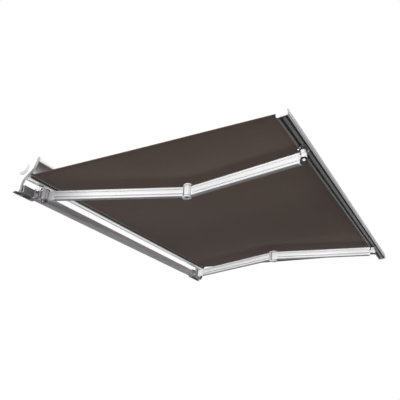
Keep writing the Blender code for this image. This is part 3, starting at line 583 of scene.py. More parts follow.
def turned(title, rings, centre, axis, around=40, hollow=False):
    # a lathe shape: each ring is extruded from the last and set to its radius and height
    axis = Vector(axis).normalized()
    across = axis.orthogonal().normalized()
    other = axis.cross(across)
    bpy.ops.object.select_all(action="DESELECT")
    bpy.ops.mesh.primitive_circle_add(vertices=around, fill_type="NGON")
    piece = bpy.context.active_object
    piece.name = title
    bpy.ops.object.mode_set(mode="EDIT")
    bpy.ops.mesh.select_all(action="SELECT")
    for k, (radius, height) in enumerate(rings):
        if k:
            bpy.ops.mesh.extrude_region_move()
        shape = bmesh.from_edit_mesh(piece.data)
        loop = [v for v in shape.verts if v.select]
        face = next(f for f in shape.faces if f.select)
        for i, v in enumerate(face.verts):
            angle = 2 * math.pi * i / len(loop)
            spoke = across * math.cos(angle) + other * math.sin(angle)
            v.co = Vector(centre) + axis * height + spoke * radius
        bmesh.update_edit_mesh(piece.data)
    if hollow:
        shape = bmesh.from_edit_mesh(piece.data)
        ends = [f for f in shape.faces if len(f.verts) == around]
        edges = [e for f in ends for e in f.edges]
        bmesh.ops.delete(shape, geom=ends, context="FACES_ONLY")
        for v in shape.verts:
            v.select = False
        for e in edges:
            e.select = True
        bmesh.update_edit_mesh(piece.data)
        bpy.ops.mesh.bridge_edge_loops()
    bpy.ops.object.mode_set(mode="OBJECT")
    outward(piece)
    return piece


def merge(piece, *others, how="UNION"):
    for other in others:
        step = piece.modifiers.new("joined", "BOOLEAN")
        step.operation = how
        step.solver = "EXACT"
        step.object = other
        applyAll(piece)
        bpy.data.objects.remove(other)
    return piece


def curve(points, steps=4):
    # a smooth line through the points
    out = []
    for k in range(len(points) - 1):
        p0 = points[max(k - 1, 0)]
        p1, p2 = points[k], points[k + 1]
        p3 = points[min(k + 2, len(points) - 1)]
        for j in range(steps):
            t = j / steps
            spot = []
            for i in range(2):
                a = 2 * p1[i]
                b = (p2[i] - p0[i]) * t
                c = (2 * p0[i] - 5 * p1[i] + 4 * p2[i] - p3[i]) * t * t
                d = (3 * p1[i] - p0[i] - 3 * p2[i] + p3[i]) * t ** 3
                spot.append((a + b + c + d) / 2)
            out.append(tuple(spot))
    return out + [points[-1]]


def arcPoints(centre, radius, first, last, steps):
    angles = [math.radians(first + (last - first) * k / steps) for k in range(steps + 1)]
    return [(centre[0] + radius * math.cos(a), centre[1] + radius * math.sin(a)) for a in angles]


def finishPiece(piece, finish, body, *stands):
    piece.data.materials.clear()
    piece.data.materials.append(mats[finish])
    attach(piece, body)
    if stands:
        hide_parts(*stands)
    replaced.update(stands)
    return piece


def pair(piece, title, body, finish, stand=None):
    # the left piece and its mirror image
    twin = bpy.data.objects.new(title + "_right", piece.data.copy())
    bpy.context.scene.collection.objects.link(twin)
    for v in twin.data.vertices:
        v.co.x = -v.co.x
    twin.data.flip_normals()
    piece.name = title + "_left"
    for made, side in ((piece, "left"), (twin, "right")):
        finishPiece(made, finish, body.format(side), *([stand.format(side)] if stand else []))
    return piece, twin


replaced = set()
wayX = Vector((1, 0, 0))
wayY = Vector((0, 1, 0))
wayZ = Vector((0, 0, 1))

# arms

arm = {
    "half": 0.0150,        # half thickness
    "tall": 0.0358,        # half height
    "offset": -0.0170,     # middle of the profile beside the joints' line
    "corner": 0.0042,
    "upperGroove": (0.0195, 0.0052, 0.0036, 0.0014),    # height, half width, depth, half of its floor
    "lowerGroove": (-0.0140, 0.0040, 0.0058, 0.0021),
    "bulge": 0.0008,
}


def armOutline(shrink=0.0, plain=False):
    half, tall = arm["half"] - shrink, arm["tall"] - shrink
    rib = half - arm["bulge"]
    edge = arcPoints((rib - arm["corner"], tall - arm["corner"]), arm["corner"], 90, 0, 4)
    if not plain:
        at, wide, deep, floor = arm["upperGroove"]
        edge += [(rib, at + wide), (half - deep, at + floor), (half - deep, at - floor),
                 (rib + 0.0004, at - wide), (half, 0.0024)]
        at, wide, deep, floor = arm["lowerGroove"]
        edge += [(rib + 0.0004, at + wide), (half - deep, at + floor), (half - deep, at - floor),
                 (rib, at - wide)]
    edge += arcPoints((rib - arm["corner"], arm["corner"] - tall), arm["corner"], 0, -90, 4)
    return [(a + arm["offset"], b) for a, b in edge] + [(-a + arm["offset"], b) for a, b in reversed(edge)]


def armLine(start, end):
    along = (end - start).normalized()
    return along, along.cross(armUp).normalized(), (end - start).length


upper, upperSide, upperLong = armLine(shoulder, elbow)
fore, foreSide, foreLong = armLine(elbow, hand)


def armPart(title, joint, along, side, first, last, shrink=0.0, plain=False):
    return profile(title, armOutline(shrink, plain), joint + along * first, side, armUp,
                   along * (last - first))


def block(title, joint, along, side, a, s, v):
    outline = [(a[0], s[0]), (a[1], s[0]), (a[1], s[1]), (a[0], s[1])]
    return profile(title, outline, joint + armUp * v[0], along, side, armUp * (v[1] - v[0]))


elbowShape = {
    "armEnd": 0.0335,      # from the elbow's axis to the upper arm's end
    "foreStart": 0.0300,
    "barrel": 0.0258,
    "ear": 0.0278,
    "earLow": 0.0367,
    "earHigh": 0.0478,
    "pocket": 0.0150,
    "pocketDeep": 0.0090,
}
handShape = {
    "armEnd": 0.0275,
    "block": 0.0095,
    "lug": 0.0172,
    "lugLow": -0.0125,
    "lugHigh": 0.0126,
    "bush": 0.0182,
    "bushTall": 0.0080,
    "nut": 0.0088,
}


def shadeProfile(piece, side):
    # painted shade: groove floors and the underside take darker paint that stands in for their shade
    if not piece.name.endswith("left"):
        side = Vector((-side.x, side.y, side.z))
    piece.data.materials.append(mats["grooveFloorShade"])
    piece.data.materials.append(mats["under"])
    middle = shoulder.dot(armUp)
    for face in piece.data.polygons:
        if face.normal.dot(armUp) < -0.45 and (face.center.dot(armUp) - middle) < -0.030:
            face.material_index = 2
        elif abs(face.normal.dot(side)) > 0.95 and face.area > 0.0004:
            spots = [piece.data.vertices[i].co for i in face.vertices]
            tall = max(v.dot(armUp) for v in spots) - min(v.dot(armUp) for v in spots)
            if tall < 0.0052:
                face.material_index = 1


def makeArms():
    piece = armPart("upper_profile", shoulder, upper, upperSide, 0.0290, upperLong - elbowShape["armEnd"])
    roundEdges(piece, 0.0005, 2, 24)
    smooth(piece, 40)
    for made in pair(piece, "upper_arm_profile", "upper_arm_{}", "upperArm", "upper_arm_{}"):
        shadeProfile(made, upperSide)
    piece = armPart("fore_profile", elbow, fore, foreSide, elbowShape["foreStart"],
                    foreLong - handShape["armEnd"] - handShape["block"])
    roundEdges(piece, 0.0005, 2, 24)
    smooth(piece, 40)
    for made in pair(piece, "forearm_profile", "forearm_{}", "white", "forearm_{}"):
        shadeProfile(made, foreSide)
    # black plugs in the open ends; their black also stands in for the shade in the recess beside the joint
    for title, joint, along, side, first, last, body in (
            ("upper_plug", elbow, upper, upperSide, -elbowShape["armEnd"], -elbowShape["armEnd"] + 0.0014,
             "upper_arm_{}"),
            ("fore_plug", hand, fore, foreSide, -handShape["armEnd"], -handShape["armEnd"] + 0.0014,
             "forearm_{}")):
        piece = armPart(title, joint, along, side, first, last, 0.0012, True)
        roundEdges(piece, 0.0004, 2)
        smooth(piece)
        pair(piece, title, body, "gasket")


def makeElbow():
    e = elbowShape
    ear = [(-e["armEnd"], -0.0300)] + arcPoints((0, 0), e["ear"], -100, 122, 22) + [(-e["armEnd"], 0.0010)]
    low, high = e["earLow"], e["earHigh"]
    top = profile("ear_top", ear, elbow + armUp * low, upper, upperSide, armUp * (high - low))
    bottom = profile("ear_bottom", ear, elbow - armUp * high, upper, upperSide, armUp * (high - low))
    web = block("web", elbow, upper, upperSide, (-e["armEnd"] + 0.0002, -0.0284), (-0.0285, -0.0125),
                (-high + 0.0002, high - 0.0002))
    fork = merge(top, web, bottom)
    for sign in (-1, 1):
        cup = turned("cup", [(e["pocket"], high - e["pocketDeep"]), (e["pocket"], high + 0.01)], elbow,
                     armUp * sign, 32)
        merge(fork, cup, how="DIFFERENCE")
    roundEdges(fork, 0.0013, 3, 34)
    smooth(fork, 40)
    pair(fork, "elbow_fork_cast", "upper_arm_{}", "casting", "elbow_fork_{}")
    # barrel and neck of the forearm
    barrel = turned("barrel", [(e["barrel"], -0.0361), (e["barrel"], 0.0361)], elbow, armUp, 48)
    neck = block("neck", elbow, fore, foreSide, (0.004, e["foreStart"] + 0.004), (-0.0290, -0.0046),
                 (-0.0325, 0.0325))
    merge(barrel, neck)
    roundEdges(barrel, 0.0011, 3, 40)
    smooth(barrel, 40)
    pair(barrel, "elbow_barrel", "forearm_{}", "casting", "elbow_knuckle_{}")
    inner, outer = e["barrel"] - 0.002, e["barrel"] + 0.0010
    ring = [(inner, 0.0338), (outer, 0.0338), (outer, 0.0366), (inner, 0.0366)]
    washers = [turned("washer", ring, elbow, armUp * sign, 40) for sign in (-1, 1)]
    joinAll(washers)
    smooth(washers[0], 30)
    pair(washers[0], "elbow_washers", "upper_arm_{}", "gasket")
    # the pin ends in a dark cup under and over the elbow
    rings = [(0.0060, high - 0.0125), (0.0146, high - 0.0125), (0.0146, high - 0.0070),
             (0.0118, high - 0.0060),
             (0.0098, high - 0.0070), (0.0062, high - 0.0070), (0.0055, high - 0.0084)]
    ends = []
    for sign in (-1, 1):
        ends.append(turned("pin_end", rings, elbow, armUp * sign, 32))
    joinAll(ends)
    smooth(ends[0], 30)
    pair(ends[0], "elbow_pin_cups", "upper_arm_{}", "black", "elbow_pin_{}")


def makeHand():
    h = handShape
    end = armPart("hand_end", hand, fore, foreSide, -h["armEnd"] - h["block"], -h["armEnd"], -0.0003, True)
    neck = block("neck", hand, fore, foreSide, (-h["armEnd"] - 0.003, -0.002), (-0.0275, 0.0030),
                 (h["lugLow"], h["lugHigh"]))
    rings = [(h["lug"], h["lugLow"] - 0.0002), (h["lug"], h["lugHigh"] + 0.0002)]
    lug = turned("lug", rings, hand, armUp, 40)
    merge(end, neck, lug)
    roundEdges(end, 0.0012, 3, 34)
    smooth(end, 40)
    pair(end, "hand_end_cast", "forearm_{}", "casting", "hand_knuckle_{}")
    # black bush under the lug; its black also stands in for the shade under the lug's rim
    low = h["lugLow"] - h["bushTall"]
    bush = turned("bush", [(0.0050, low), (h["bush"] - 0.0014, low), (h["bush"], low + 0.0014),
                           (h["bush"], h["lugLow"])], hand, armUp, 36)
    smooth(bush, 30)
    pair(bush, "hand_bush", "forearm_{}", "gasket")
    nut = turned("nut", [(0.0046, low - 0.0075), (0.0046, low - 0.0068), (h["nut"] - 0.001, low - 0.0062),
                         (h["nut"], low - 0.0052),
                         (h["nut"], low - 0.001), (h["nut"] + 0.0018, low - 0.001),
                         (h["nut"] + 0.0018, low)], hand, armUp, 6)
    smooth(nut, 20)
    pair(nut, "hand_nut", "forearm_{}", "brightZinc", "hand_pin_{}")


def makeShoulder():
    barrel = turned("barrel", [(0.0258, -0.0355), (0.0258, 0.0355)], shoulder, armUp, 48)
    neck = block("neck", shoulder, upper, upperSide, (0.004, 0.0330), (-0.0290, -0.0046), (-0.0325, 0.0325))
    merge(barrel, neck)
    roundEdges(barrel, 0.0011, 3, 40)
    smooth(barrel, 40)
    # the barrel and sleeve take the upper arm's paint, with its painted shade near the wall
    pair(barrel, "shoulder_barrel", "upper_arm_{}", "upperArm", "shoulder_knuckle_{}")
    sleeve = armPart("sleeve", shoulder, upper, upperSide, 0.0296, 0.0760, -0.0012, True)
    roundEdges(sleeve, 0.0010, 2, 34)
    smooth(sleeve, 40)
    pair(sleeve, "shoulder_sleeve", "upper_arm_{}", "upperArm")
    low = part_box("tilt_block_left")[0].z - shoulder.z
    cup = turned("cup", [(0.0200, 0.0), (0.0200, 0.0120), (0.0185, 0.0160), (0.0120, 0.0180),
                         (0.0030, 0.0182)], shoulder + armUp * (low + 0.001),
                 -armUp, 36)
    smooth(cup, 34)
    pair(cup, "shoulder_cup", "tilt_{}", "darkCasting")


def makeBarShadeSleeve():
    # dark grey sleeves over both ends of the bar: painted shade where the bar meets the end caps
    low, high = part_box("torsion_bar")
    t = 0.0010
    start = -1.2210
    outline = [(low[1] - t, low[2] - t), (high[1] + t, low[2] - t), (high[1] + t, high[2] + t),
               (low[1] - t, high[2] + t)]
    sleeve = profile("sleeve", outline, (start, 0, 0), wayY, wayZ, (0.0945, 0, 0))
    roundEdges(sleeve, 0.0026, 3)
    smooth(sleeve, 40)
    pair(sleeve, "bar_end_shade_sleeve", "frame", "greyCasting")


makeBarShadeSleeve()
makeArms()
makeElbow()
makeHand()
makeShoulder()
print("arms made")

# case and brackets

case = {
    "y0": -0.0633,         # origin of the sections below
    "z0": -0.0265,
    "outer": 1.2440,
    "inner": 1.2220,
    "capFront": [(-0.1220, 0.2440), (-0.1205, 0.2304), (-0.1140, 0.2109), (-0.1030, 0.1799),
                 (-0.0850, 0.1508), (-0.0560, 0.1262),
                 (-0.0270, 0.1070), (-0.0040, 0.0870), (0.0080, 0.0660), (0.0130, 0.0450), (0.0135, 0.0200),
                 (0.0200, 0.0040)],
    "capRest": [(0.0280, -0.0020), (0.0513, -0.0020), (0.0613, 0.0080), (0.0613, 0.2620), (0.0493, 0.2710)],
    "capTop": [(0.0000, 0.2710), (-0.0620, 0.2645), (-0.1120, 0.2515), (-0.1195, 0.2480),
               (-0.1220, 0.2440)],
    "cover": [(0.0500, 0.0), (0.0496, 0.0030), (0.0480, 0.0075), (0.0455, 0.0120), (0.0425, 0.0165),
              (0.0395, 0.0200), (0.0362, 0.0226),
              (0.0325, 0.0238), (0.0300, 0.0240), (0.0292, 0.0234), (0.0280, 0.0234), (0.0270, 0.0240),
              (0.0140, 0.0242), (0.0020, 0.0243)],
    "wall": 0.0028,
}

bracket = {
    "x": (-1.2600, -1.0890),
    "plate": 0.0060,
    "shelf": 0.0066,
    "blocks": ((-1.2600, -1.2105), (-1.1790, -1.1310)),
    "boss": (-1.1262, -0.0985, 0.0270),
    "ring": (-1.1215, -0.1365, 0.0170),
}


def makeBrackets():
    low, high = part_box("torsion_bar")
    first, last = bracket["x"]
    top, shelf = high[2] + 0.0008, low[2] - 0.0008
    outline = [(0.0, shelf - bracket["shelf"]), (0.0, 0.0520), (-0.0045, 0.0520), (-0.0085, 0.0440),
               (-0.0260, 0.0400), (-0.0440, 0.0340),
               (-0.0448, 0.0310), (-0.0440, top), (-bracket["plate"], top), (-bracket["plate"], shelf),
               (-0.0345, shelf),
               (-0.0345, shelf - bracket["shelf"])]
    inner = -case["inner"] + 0.0004
    piece = rail("wall_plate", outline, inner, last)
    foot = [(0.0, shelf - bracket["shelf"]), (0.0, -0.0289), (-0.0345, -0.0289),
            (-0.0345, shelf - bracket["shelf"])]
    merge(piece, rail("wall_foot", foot, first, inner + 0.01))
    roundEdges(piece, 0.0012, 3, 34)
    smooth(piece, 40)
    pair(piece, "wall_bracket_cast", "frame", "greyCasting", "wall_bracket_{}")
    blocks = []
    for a, b in bracket["blocks"]:
        edge = [(-0.0345, -0.0345), (-0.0345, -0.0392), (-0.0325, -0.0404), (-0.0125, -0.0404),
                (-0.0105, -0.0392), (-0.0105, -0.0345)]
        blocks.append(rail("block", edge, a, b))
        roundEdges(blocks[-1], 0.0008, 2)
    joinAll(blocks)
    smooth(blocks[0], 34)
    pair(blocks[0], "clamp_blocks", "frame", "black", "clamp_plate_{}")
    # bosses on the tilting joint
    boss = turned("boss", [(0.0170, 0.0), (0.0170, 0.0030), (0.0155, 0.0044), (0.0128, 0.0044),
                           (0.0120, 0.0020), (0.0075, 0.0020),
                           (0.0068, 0.0050), (0.0040, 0.0058)], bracket["boss"], -wayX, 32)
    smooth(boss, 34)
    pair(boss, "tilt_boss", "frame", "casting")
    ring = turned("ring", [(0.0142, 0.0), (0.0142, 0.0034), (0.0128, 0.0046), (0.0104, 0.0046),
                           (0.0098, 0.0006), (0.0004, 0.0006)],
                  bracket["ring"], -wayX, 32)
    smooth(ring, 34)
    ringLeft, ringRight = pair(ring, "tilt_ring", "tilt_{}", "casting")
    for made in (ringLeft, ringRight):
        made.data.materials.append(mats["gasket"])
        for face in made.data.polygons:
            spot = face.center - Vector((face.center.x, bracket["ring"][1], bracket["ring"][2]))
            if spot.length < 0.0102:
                face.material_index = 1


makeBrackets()
print("brackets made")

# front bar

frontBar = {
    "half": 1.2420,
    "back": -1.9690,
    "bottom": -0.1299,
    "deep": 0.0605,
    "tall": 0.0548,
    "rear": (0.0115, 0.0270, 0.0130),      # groove: start, end, depth
    "fore": (0.0435, 0.0550, 0.0120),
    "cap": 0.0080,
}


def frontPoint(outline):
    return [(frontBar["back"] - u, frontBar["bottom"] + v) for u, v in outline]


def makeFrontBar():
    f = frontBar
    deep, tall = f["deep"], f["tall"]
    a, b, c = f["rear"]
    d, e, g = f["fore"]
    outline = [(0.0, 0.0022), (0.0006, 0.0), (a, 0.0), (a, c), (b, c), (b, 0.0), (0.0345, 0.0),
               (0.0350, 0.0010), (0.0362, 0.0010),
               (0.0367, 0.0), (d, 0.0), (d, g), (e, g), (e, 0.0004), (deep - 0.0034, 0.0004)]
    outline += [(deep - 0.0006, 0.0086), (deep - 0.0032, 0.0096), (deep - 0.0032, 0.0112), (deep, 0.0122)]
    outline += [(deep, 0.0300), (deep - 0.0014, 0.0306), (deep - 0.0014, 0.0324), (deep, 0.0330),
                (deep, tall * 0.66)]
    outline += arcPoints((deep - 0.0110, tall - 0.0110), 0.0110, 10, 90, 6)
    outline += [(0.0040, tall), (0.0010, tall - 0.0012), (0.0, tall - 0.0040), (0.0, tall - 0.0055),
                (0.0040, tall - 0.0055),
                (0.0040, tall - 0.0035), (0.0125, tall - 0.0035), (0.0125, tall - 0.0120),
                (0.0040, tall - 0.0120),
                (0.0040, tall - 0.0095), (0.0, tall - 0.0095)]
    piece = rail("front_profile", frontPoint(outline), -f["half"], f["half"])
    roundEdges(piece, 0.0004, 2, 24)
    smooth(piece, 40)
    finishPiece(piece, "frontPaint", "front", "front_bar")
    # painted shade: the bar's bottom faces take a dark paint
    piece.data.materials.append(mats["barShade"])
    for face in piece.data.polygons:
        if face.center.z < f["bottom"] + 0.0120 and face.center.y > f["back"] - f["fore"][1] - 0.0002:
            face.material_index = 1
    # rubber in both grooves
    for k, (first, last, depth) in enumerate((f["rear"], f["fore"])):
        low = 0.0056
        rubber = [(first, depth), (first, low + 0.001), (first + 0.001, low),
                  ((first + last) / 2, low + 0.0008),
                  (last - 0.001, low), (last, low + 0.001), (last, depth)]
        piece = rail("rubber", frontPoint(rubber), -f["half"] + 0.0005, f["half"] - 0.0005)
        piece.name = "front_rubber_" + str(k + 1)
        smooth(piece, 30)
        finishPiece(piece, "gasket", "front")
    # end cap
    deep -= 0.0020
    cap = [(-0.0020, 0.0030), (0.0050, -0.0022), (deep + 0.0012, -0.0022), (deep + 0.0020, 0.0)]
    cap += [(deep + 0.0020, tall * 0.62)] + arcPoints((deep - 0.0100, tall - 0.0100), 0.0120, 10, 90, 6)
    cap += [(0.0030, tall + 0.0018), (-0.0020, tall - 0.0030)]
    piece = rail("front_end", frontPoint(cap), -f["half"] - f["cap"], -f["half"] - 0.0003)
    roundEdges(piece, 0.0014, 3, 34)
    smooth(piece, 40)
    pair(piece, "front_end_cap", "front", "casting", "front_cap_{}")


def makeHandBracket():
    f = frontBar
    under = f["bottom"]
    # black shoe in the bar's grooves
    shoe = [(hand.x - 0.052, f["back"] - 0.0030), (hand.x + 0.021, f["back"] - 0.0030),
            (hand.x + 0.021, f["back"] - 0.0500),
            (hand.x - 0.052, f["back"] - 0.0500)]
    piece = profile("shoe", shoe, (0, 0, under - 0.0040), wayX, wayY, (0, 0, 0.0038))
    roundEdges(piece, 0.0012, 2)
    smooth(piece)
    pair(piece, "hand_shoe", "front", "black")
    # pillar over the arm's lug, long enough for the pin's slot
    first, last = hand.x - 0.0035, hand.x + 0.0085
    outline = arcPoints((first, hand.y), 0.0150, 90, 270, 14)
    outline += arcPoints((last, hand.y), 0.0150, -90, 90, 14)
    low = hand.z + handShape["lugHigh"] + 0.0016
    pillar = profile("pillar", outline, (0, 0, low), wayX, wayY, (0, 0, under - 0.0040 - low))
    roundEdges(pillar, 0.0014, 3, 34)
    smooth(pillar, 40)
    pair(pillar, "hand_pillar", "front", "casting", "hand_bracket_{}")
    # screws of the shoe, and the clamp screw behind the bar
    spots = [(hand.x - 0.040, hand.y + 0.006, under - 0.0040),
             (hand.x + 0.0155, hand.y - 0.0240, under - 0.0040)]
    heads = [turned("head", [(0.0048, 0.0), (0.0048, 0.0016), (0.0036, 0.0030), (0.0018, 0.0034),
                             (0.0018, 0.0022)], spot, -wayZ, 20)
             for spot in spots]
    heads.append(turned("knob", [(0.0030, -0.004), (0.0030, 0.0030), (0.0062, 0.0032), (0.0064, 0.0080),
                                 (0.0050, 0.0098), (0.0020, 0.0104)],
                        (hand.x - 0.012, f["back"], under + 0.0060), wayY, 20))
    joinAll(heads)
    smooth(heads[0], 30)
    pair(heads[0], "hand_screws", "front", "zinc")


makeFrontBar()
makeHandBracket()
print("front bar made")

def sectionPoints(outline):
    return [(case["y0"] + u, case["z0"] + v) for u, v in outline]


def makeCaps():
    outline = curve(case["capFront"], 5) + case["capRest"] + curve(case["capTop"], 3)[:-1]
    piece = rail("cap", sectionPoints(outline), -case["outer"], -case["inner"])
    onlyThis(piece)
    bpy.ops.object.mode_set(mode="EDIT")
    bpy.ops.mesh.select_all(action="DESELECT")
    shape = bmesh.from_edit_mesh(piece.data)
    for face in shape.faces:
        face.select = face.normal.x > 0.9
    bmesh.update_edit_mesh(piece.data)
    bpy.ops.mesh.inset(thickness=0.0035)
    bpy.ops.mesh.extrude_region_move(TRANSFORM_OT_translate={"value": (-0.0160, 0, 0)})
    bpy.ops.object.mode_set(mode="OBJECT")
    outward(piece)
    roundEdges(piece, 0.0018, 3, 40)
    smooth(piece, 40)
    pair(piece, "end_cap_cast", "frame", "casting", "end_cap_{}")
    centre = (-case["outer"] - 0.0003, rollerAxis.y, rollerAxis.z)
    piece = turned("cover", [(0.0005, 0.0)] + case["cover"], centre, -wayX, 72)
    smooth(piece, 50)
    pair(piece, "end_cover_dome", "frame", "casting", "end_cover_{}")
    # a thin grey ring round the cover's foot: painted shade along the cover's edge
    edge = [(0.0440, 0.0), (0.0509, 0.0), (0.0509, 0.0009), (0.0440, 0.0009)]
    ring = turned("ring", edge, centre, -wayX, 72)
    smooth(ring, 40)
    pair(ring, "end_cover_seal", "frame", "comb")


def makeHood():
    wall = case["wall"]
    back = 0.0608
    front = [(-0.1185, 0.2120), (-0.1185, 0.2345), (-0.1170, 0.2395), (-0.1130, 0.2432), (-0.1080, 0.2460)]
    roof = curve([(-0.1080, 0.2460), (-0.0600, 0.2590), (0.0, 0.2650), (0.0450, 0.2650)], 5)[1:]
    outer = front + roof + [(0.0560, 0.2630), (back, 0.2580), (back, 0.1400)]
    inner = [(back - wall, 0.1400), (back - wall, 0.2560), (0.0450, 0.2650 - wall), (0.0, 0.2650 - wall),
             (-0.0600, 0.2590 - wall)]
    # ribs under the roof, behind the lip
    for at in (-0.0760, -0.0850, -0.0940, -0.1030):
        level = 0.2590 - wall + (at + 0.06) * 0.27
        inner += [(at, level), (at, level - 0.0055), (at - 0.0018, level - 0.0060),
                  (at - 0.0018, level - 0.0005)]
    inner += [(-0.1185 + wall, 0.2375), (-0.1185 + wall, 0.2120 + wall), (-0.1095, 0.2120 + wall),
              (-0.1095, 0.2120)]
    long = case["inner"] - 0.0003
    piece = rail("roof", sectionPoints(outer + inner), -long, long)
    roundEdges(piece, 0.0005, 2, 40)
    smooth(piece, 40)
    finishPiece(piece, "white", "frame", "hood")
    piece.data.materials.append(mats["inside"])
    for face in piece.data.polygons:
        spot = face.center
        if face.normal.z < -0.2 and spot.z > 0.19 and spot.y > -0.175:
            face.material_index = 1
        if abs(face.normal.y) > 0.5 and -0.175 < spot.y < -0.012 and spot.z > 0.195:
            face.material_index = 1


def makeBaffle():
    # ribbed inner panel between the roof and the cloth, in front of the roll
    front = [(-0.0665, 0.2545), (-0.0640, 0.2300)]
    for v in (0.2150, 0.1950, 0.1750, 0.1560):
        u = -0.0640 + (0.2300 - v) * 0.11
        front += [(u, v + 0.0022), (u - 0.0024, v + 0.0014), (u - 0.0024, v - 0.0014), (u, v - 0.0022)]
    front += [(-0.0538, 0.1400), (-0.0550, 0.1375), (-0.0520, 0.1372)]
    back = [(-0.0505, 0.1400), (-0.0610, 0.2300), (-0.0640, 0.2545)]
    long = case["inner"] - 0.0006
    piece = rail("baffle", sectionPoints(front + back), -long, long)
    smooth(piece, 40)
    piece.name = "hood_baffle"
    finishPiece(piece, "inside", "frame")


def makeShell():
    nose = curve([(-0.0482, 0.1012), (-0.0492, 0.0955), (-0.0445, 0.0885), (-0.0385, 0.0842),
                  (-0.0300, 0.0828), (-0.0215, 0.0855)], 4)
    outline = [(-0.0555, 0.1195), (-0.0475, 0.1030), (-0.0385, 0.1040), (-0.0365, 0.0995)] + nose
    outline += [(-0.0165, 0.0893), (-0.0155, 0.0915), (-0.0140, 0.0925), (-0.0130, 0.0920),
                (0.0040, 0.0982), (0.0050, 0.0990), (0.0050, 0.1030),
                (-0.0150, 0.1030), (-0.0320, 0.1085), (-0.0480, 0.1180)]
    long = case["inner"] - 0.0003
    piece = rail("shell", sectionPoints(outline), -long, long)
    roundEdges(piece, 0.0004, 2, 30)
    smooth(piece, 40)
    finishPiece(piece, "satin", "frame", "lower_shell")


comb = {
    "top": (-0.0600, 0.1203),
    "bottom": (-0.0520, 0.1030),
    "deep": 0.0036,
    "step": 0.0200,
    "wide": 0.0105,
    "reach": 0.56,      # share of the strip's height that the teeth cover
}


def makeComb():
    long = case["inner"] - 0.0003
    top, bottom = Vector(comb["top"]), Vector(comb["bottom"])
    down = bottom - top
    outline = [(top.x + 0.0013, top.y), (bottom.x + 0.0013, bottom.y), (bottom.x + comb["deep"], bottom.y),
               (top.x + comb["deep"], top.y)]
    piece = rail("strip", sectionPoints(outline), -long, long)
    smooth(piece)
    finishPiece(piece, "strip", "frame", "brush_strip")
    # a black bead on the strip's lower part: painted shade for the gap over the shell
    start, end = top + down * 0.62, top + down
    bead = [(start.x + 0.0003, start.y), (end.x + 0.0003, end.y), (end.x + 0.0020, end.y),
            (start.x + 0.0020, start.y)]
    piece = rail("strip_shade_bead", sectionPoints(bead), -long, long)
    smooth(piece)
    finishPiece(piece, "gasket", "frame")
    end = top + down * comb["reach"]
    tooth = [tuple(top), (end.x, end.y + 0.0006), (end.x + 0.0008, end.y), (end.x + 0.0024, end.y + 0.0002),
             (top.x + 0.0024, top.y)]
    piece = profile("tooth", sectionPoints(tooth), (-long + 0.003, 0, 0), wayY, wayZ, (comb["wide"], 0, 0))
    roundEdges(piece, 0.0004, 1, 40)
    row = piece.modifiers.new("row", "ARRAY")
    row.use_relative_offset = False
    row.use_constant_offset = True
    row.constant_offset_displace = (comb["step"], 0, 0)
    row.count = int((2 * long - 0.006) / comb["step"])
    applyAll(piece)
    smooth(piece)
    piece.name = "comb_teeth"
    finishPiece(piece, "comb", "frame")


makeCaps()
makeHood()
makeBaffle()
makeShell()
makeComb()
print("case made")

# canvas: sheet, hems, wound roll, keder

cloth = {
    "columns": 96,
    "rows": 72,
    "sag": 0.0025,
    "thickness": 0.0006,
    "hem": 0.020,
    "travel": 1.7262,
    "rollTop": 0.0470,
    "tube": 0.0394,
}


def clothLine():
    low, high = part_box("fabric")
    points = [v.co for v in nodes["fabric"].data.vertices]
    backs = [p for p in points if p.y > high.y - 0.003]
    fronts = [p for p in points if p.y < low.y + 0.003]
    start = sum((Vector(p) for p in backs), Vector()) / len(backs)
    end = sum((Vector(p) for p in fronts), Vector()) / len(fronts)
    start.x = end.x = 0
    return start, end, (high[0] - low[0]) / 2


def clothPatch(title, first, last, columns, under=0.0):
    # a grid laid along the cloth's line, hanging a little between roll and bar
    start, end, half = clothLine()
    run = end - start
    bpy.ops.object.select_all(action="DESELECT")
    bpy.ops.mesh.primitive_grid_add(x_subdivisions=columns, y_subdivisions=cloth["rows"], size=1)
    piece = bpy.context.active_object
    piece.name = title
    uv = piece.data.uv_layers[0]
    uv.name = "cloth"
    for v in piece.data.vertices:
        x = first + (last - first) * (v.co.x + 0.5)
        along = v.co.y + 0.5
        drop = cloth["sag"] * math.sin(math.pi * along) ** 2 * (1 - 0.3 * (x / half) ** 2)
        ripple = 0.0006 * math.sin(math.pi * along) ** 2 * math.sin(x * 9.0 + 0.6) * (abs(x) / half) ** 2
        spot = start + run * along
        v.co = (x, spot.y, spot.z - drop - ripple - under)
    for loop in piece.data.loops:
        co = piece.data.vertices[loop.vertex_index].co
        uv.data[loop.index].uv = (co.x, (start.y - co.y) / math.cos(pitch))
    wall = piece.modifiers.new("wall", "SOLIDIFY")
    wall.thickness = cloth["thickness"]
    wall.offset = 0
    applyAll(piece)
    smooth(piece, 40)
    return piece


def squashCloth(piece):
    start, end = clothLine()[:2]
    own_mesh(piece)


def makeCanvas():
    start, end, half = clothLine()
    sheet = clothPatch("canvas_sheet", -half, half, cloth["columns"])
    finishPiece(sheet, "canvas", "tilt_left", "fabric")
    hems = []
    for side, title in ((-1, "left"), (1, "right")):
        edges = sorted((side * half, side * (half - cloth["hem"])))
        hem = clothPatch("canvas_hem_" + title, edges[0], edges[1], 6, cloth["thickness"] + 0.0001)
        finishPiece(hem, "canvas", "tilt_left")
        hems.append(hem)
    for piece in [sheet] + hems:
        squashCloth(piece)


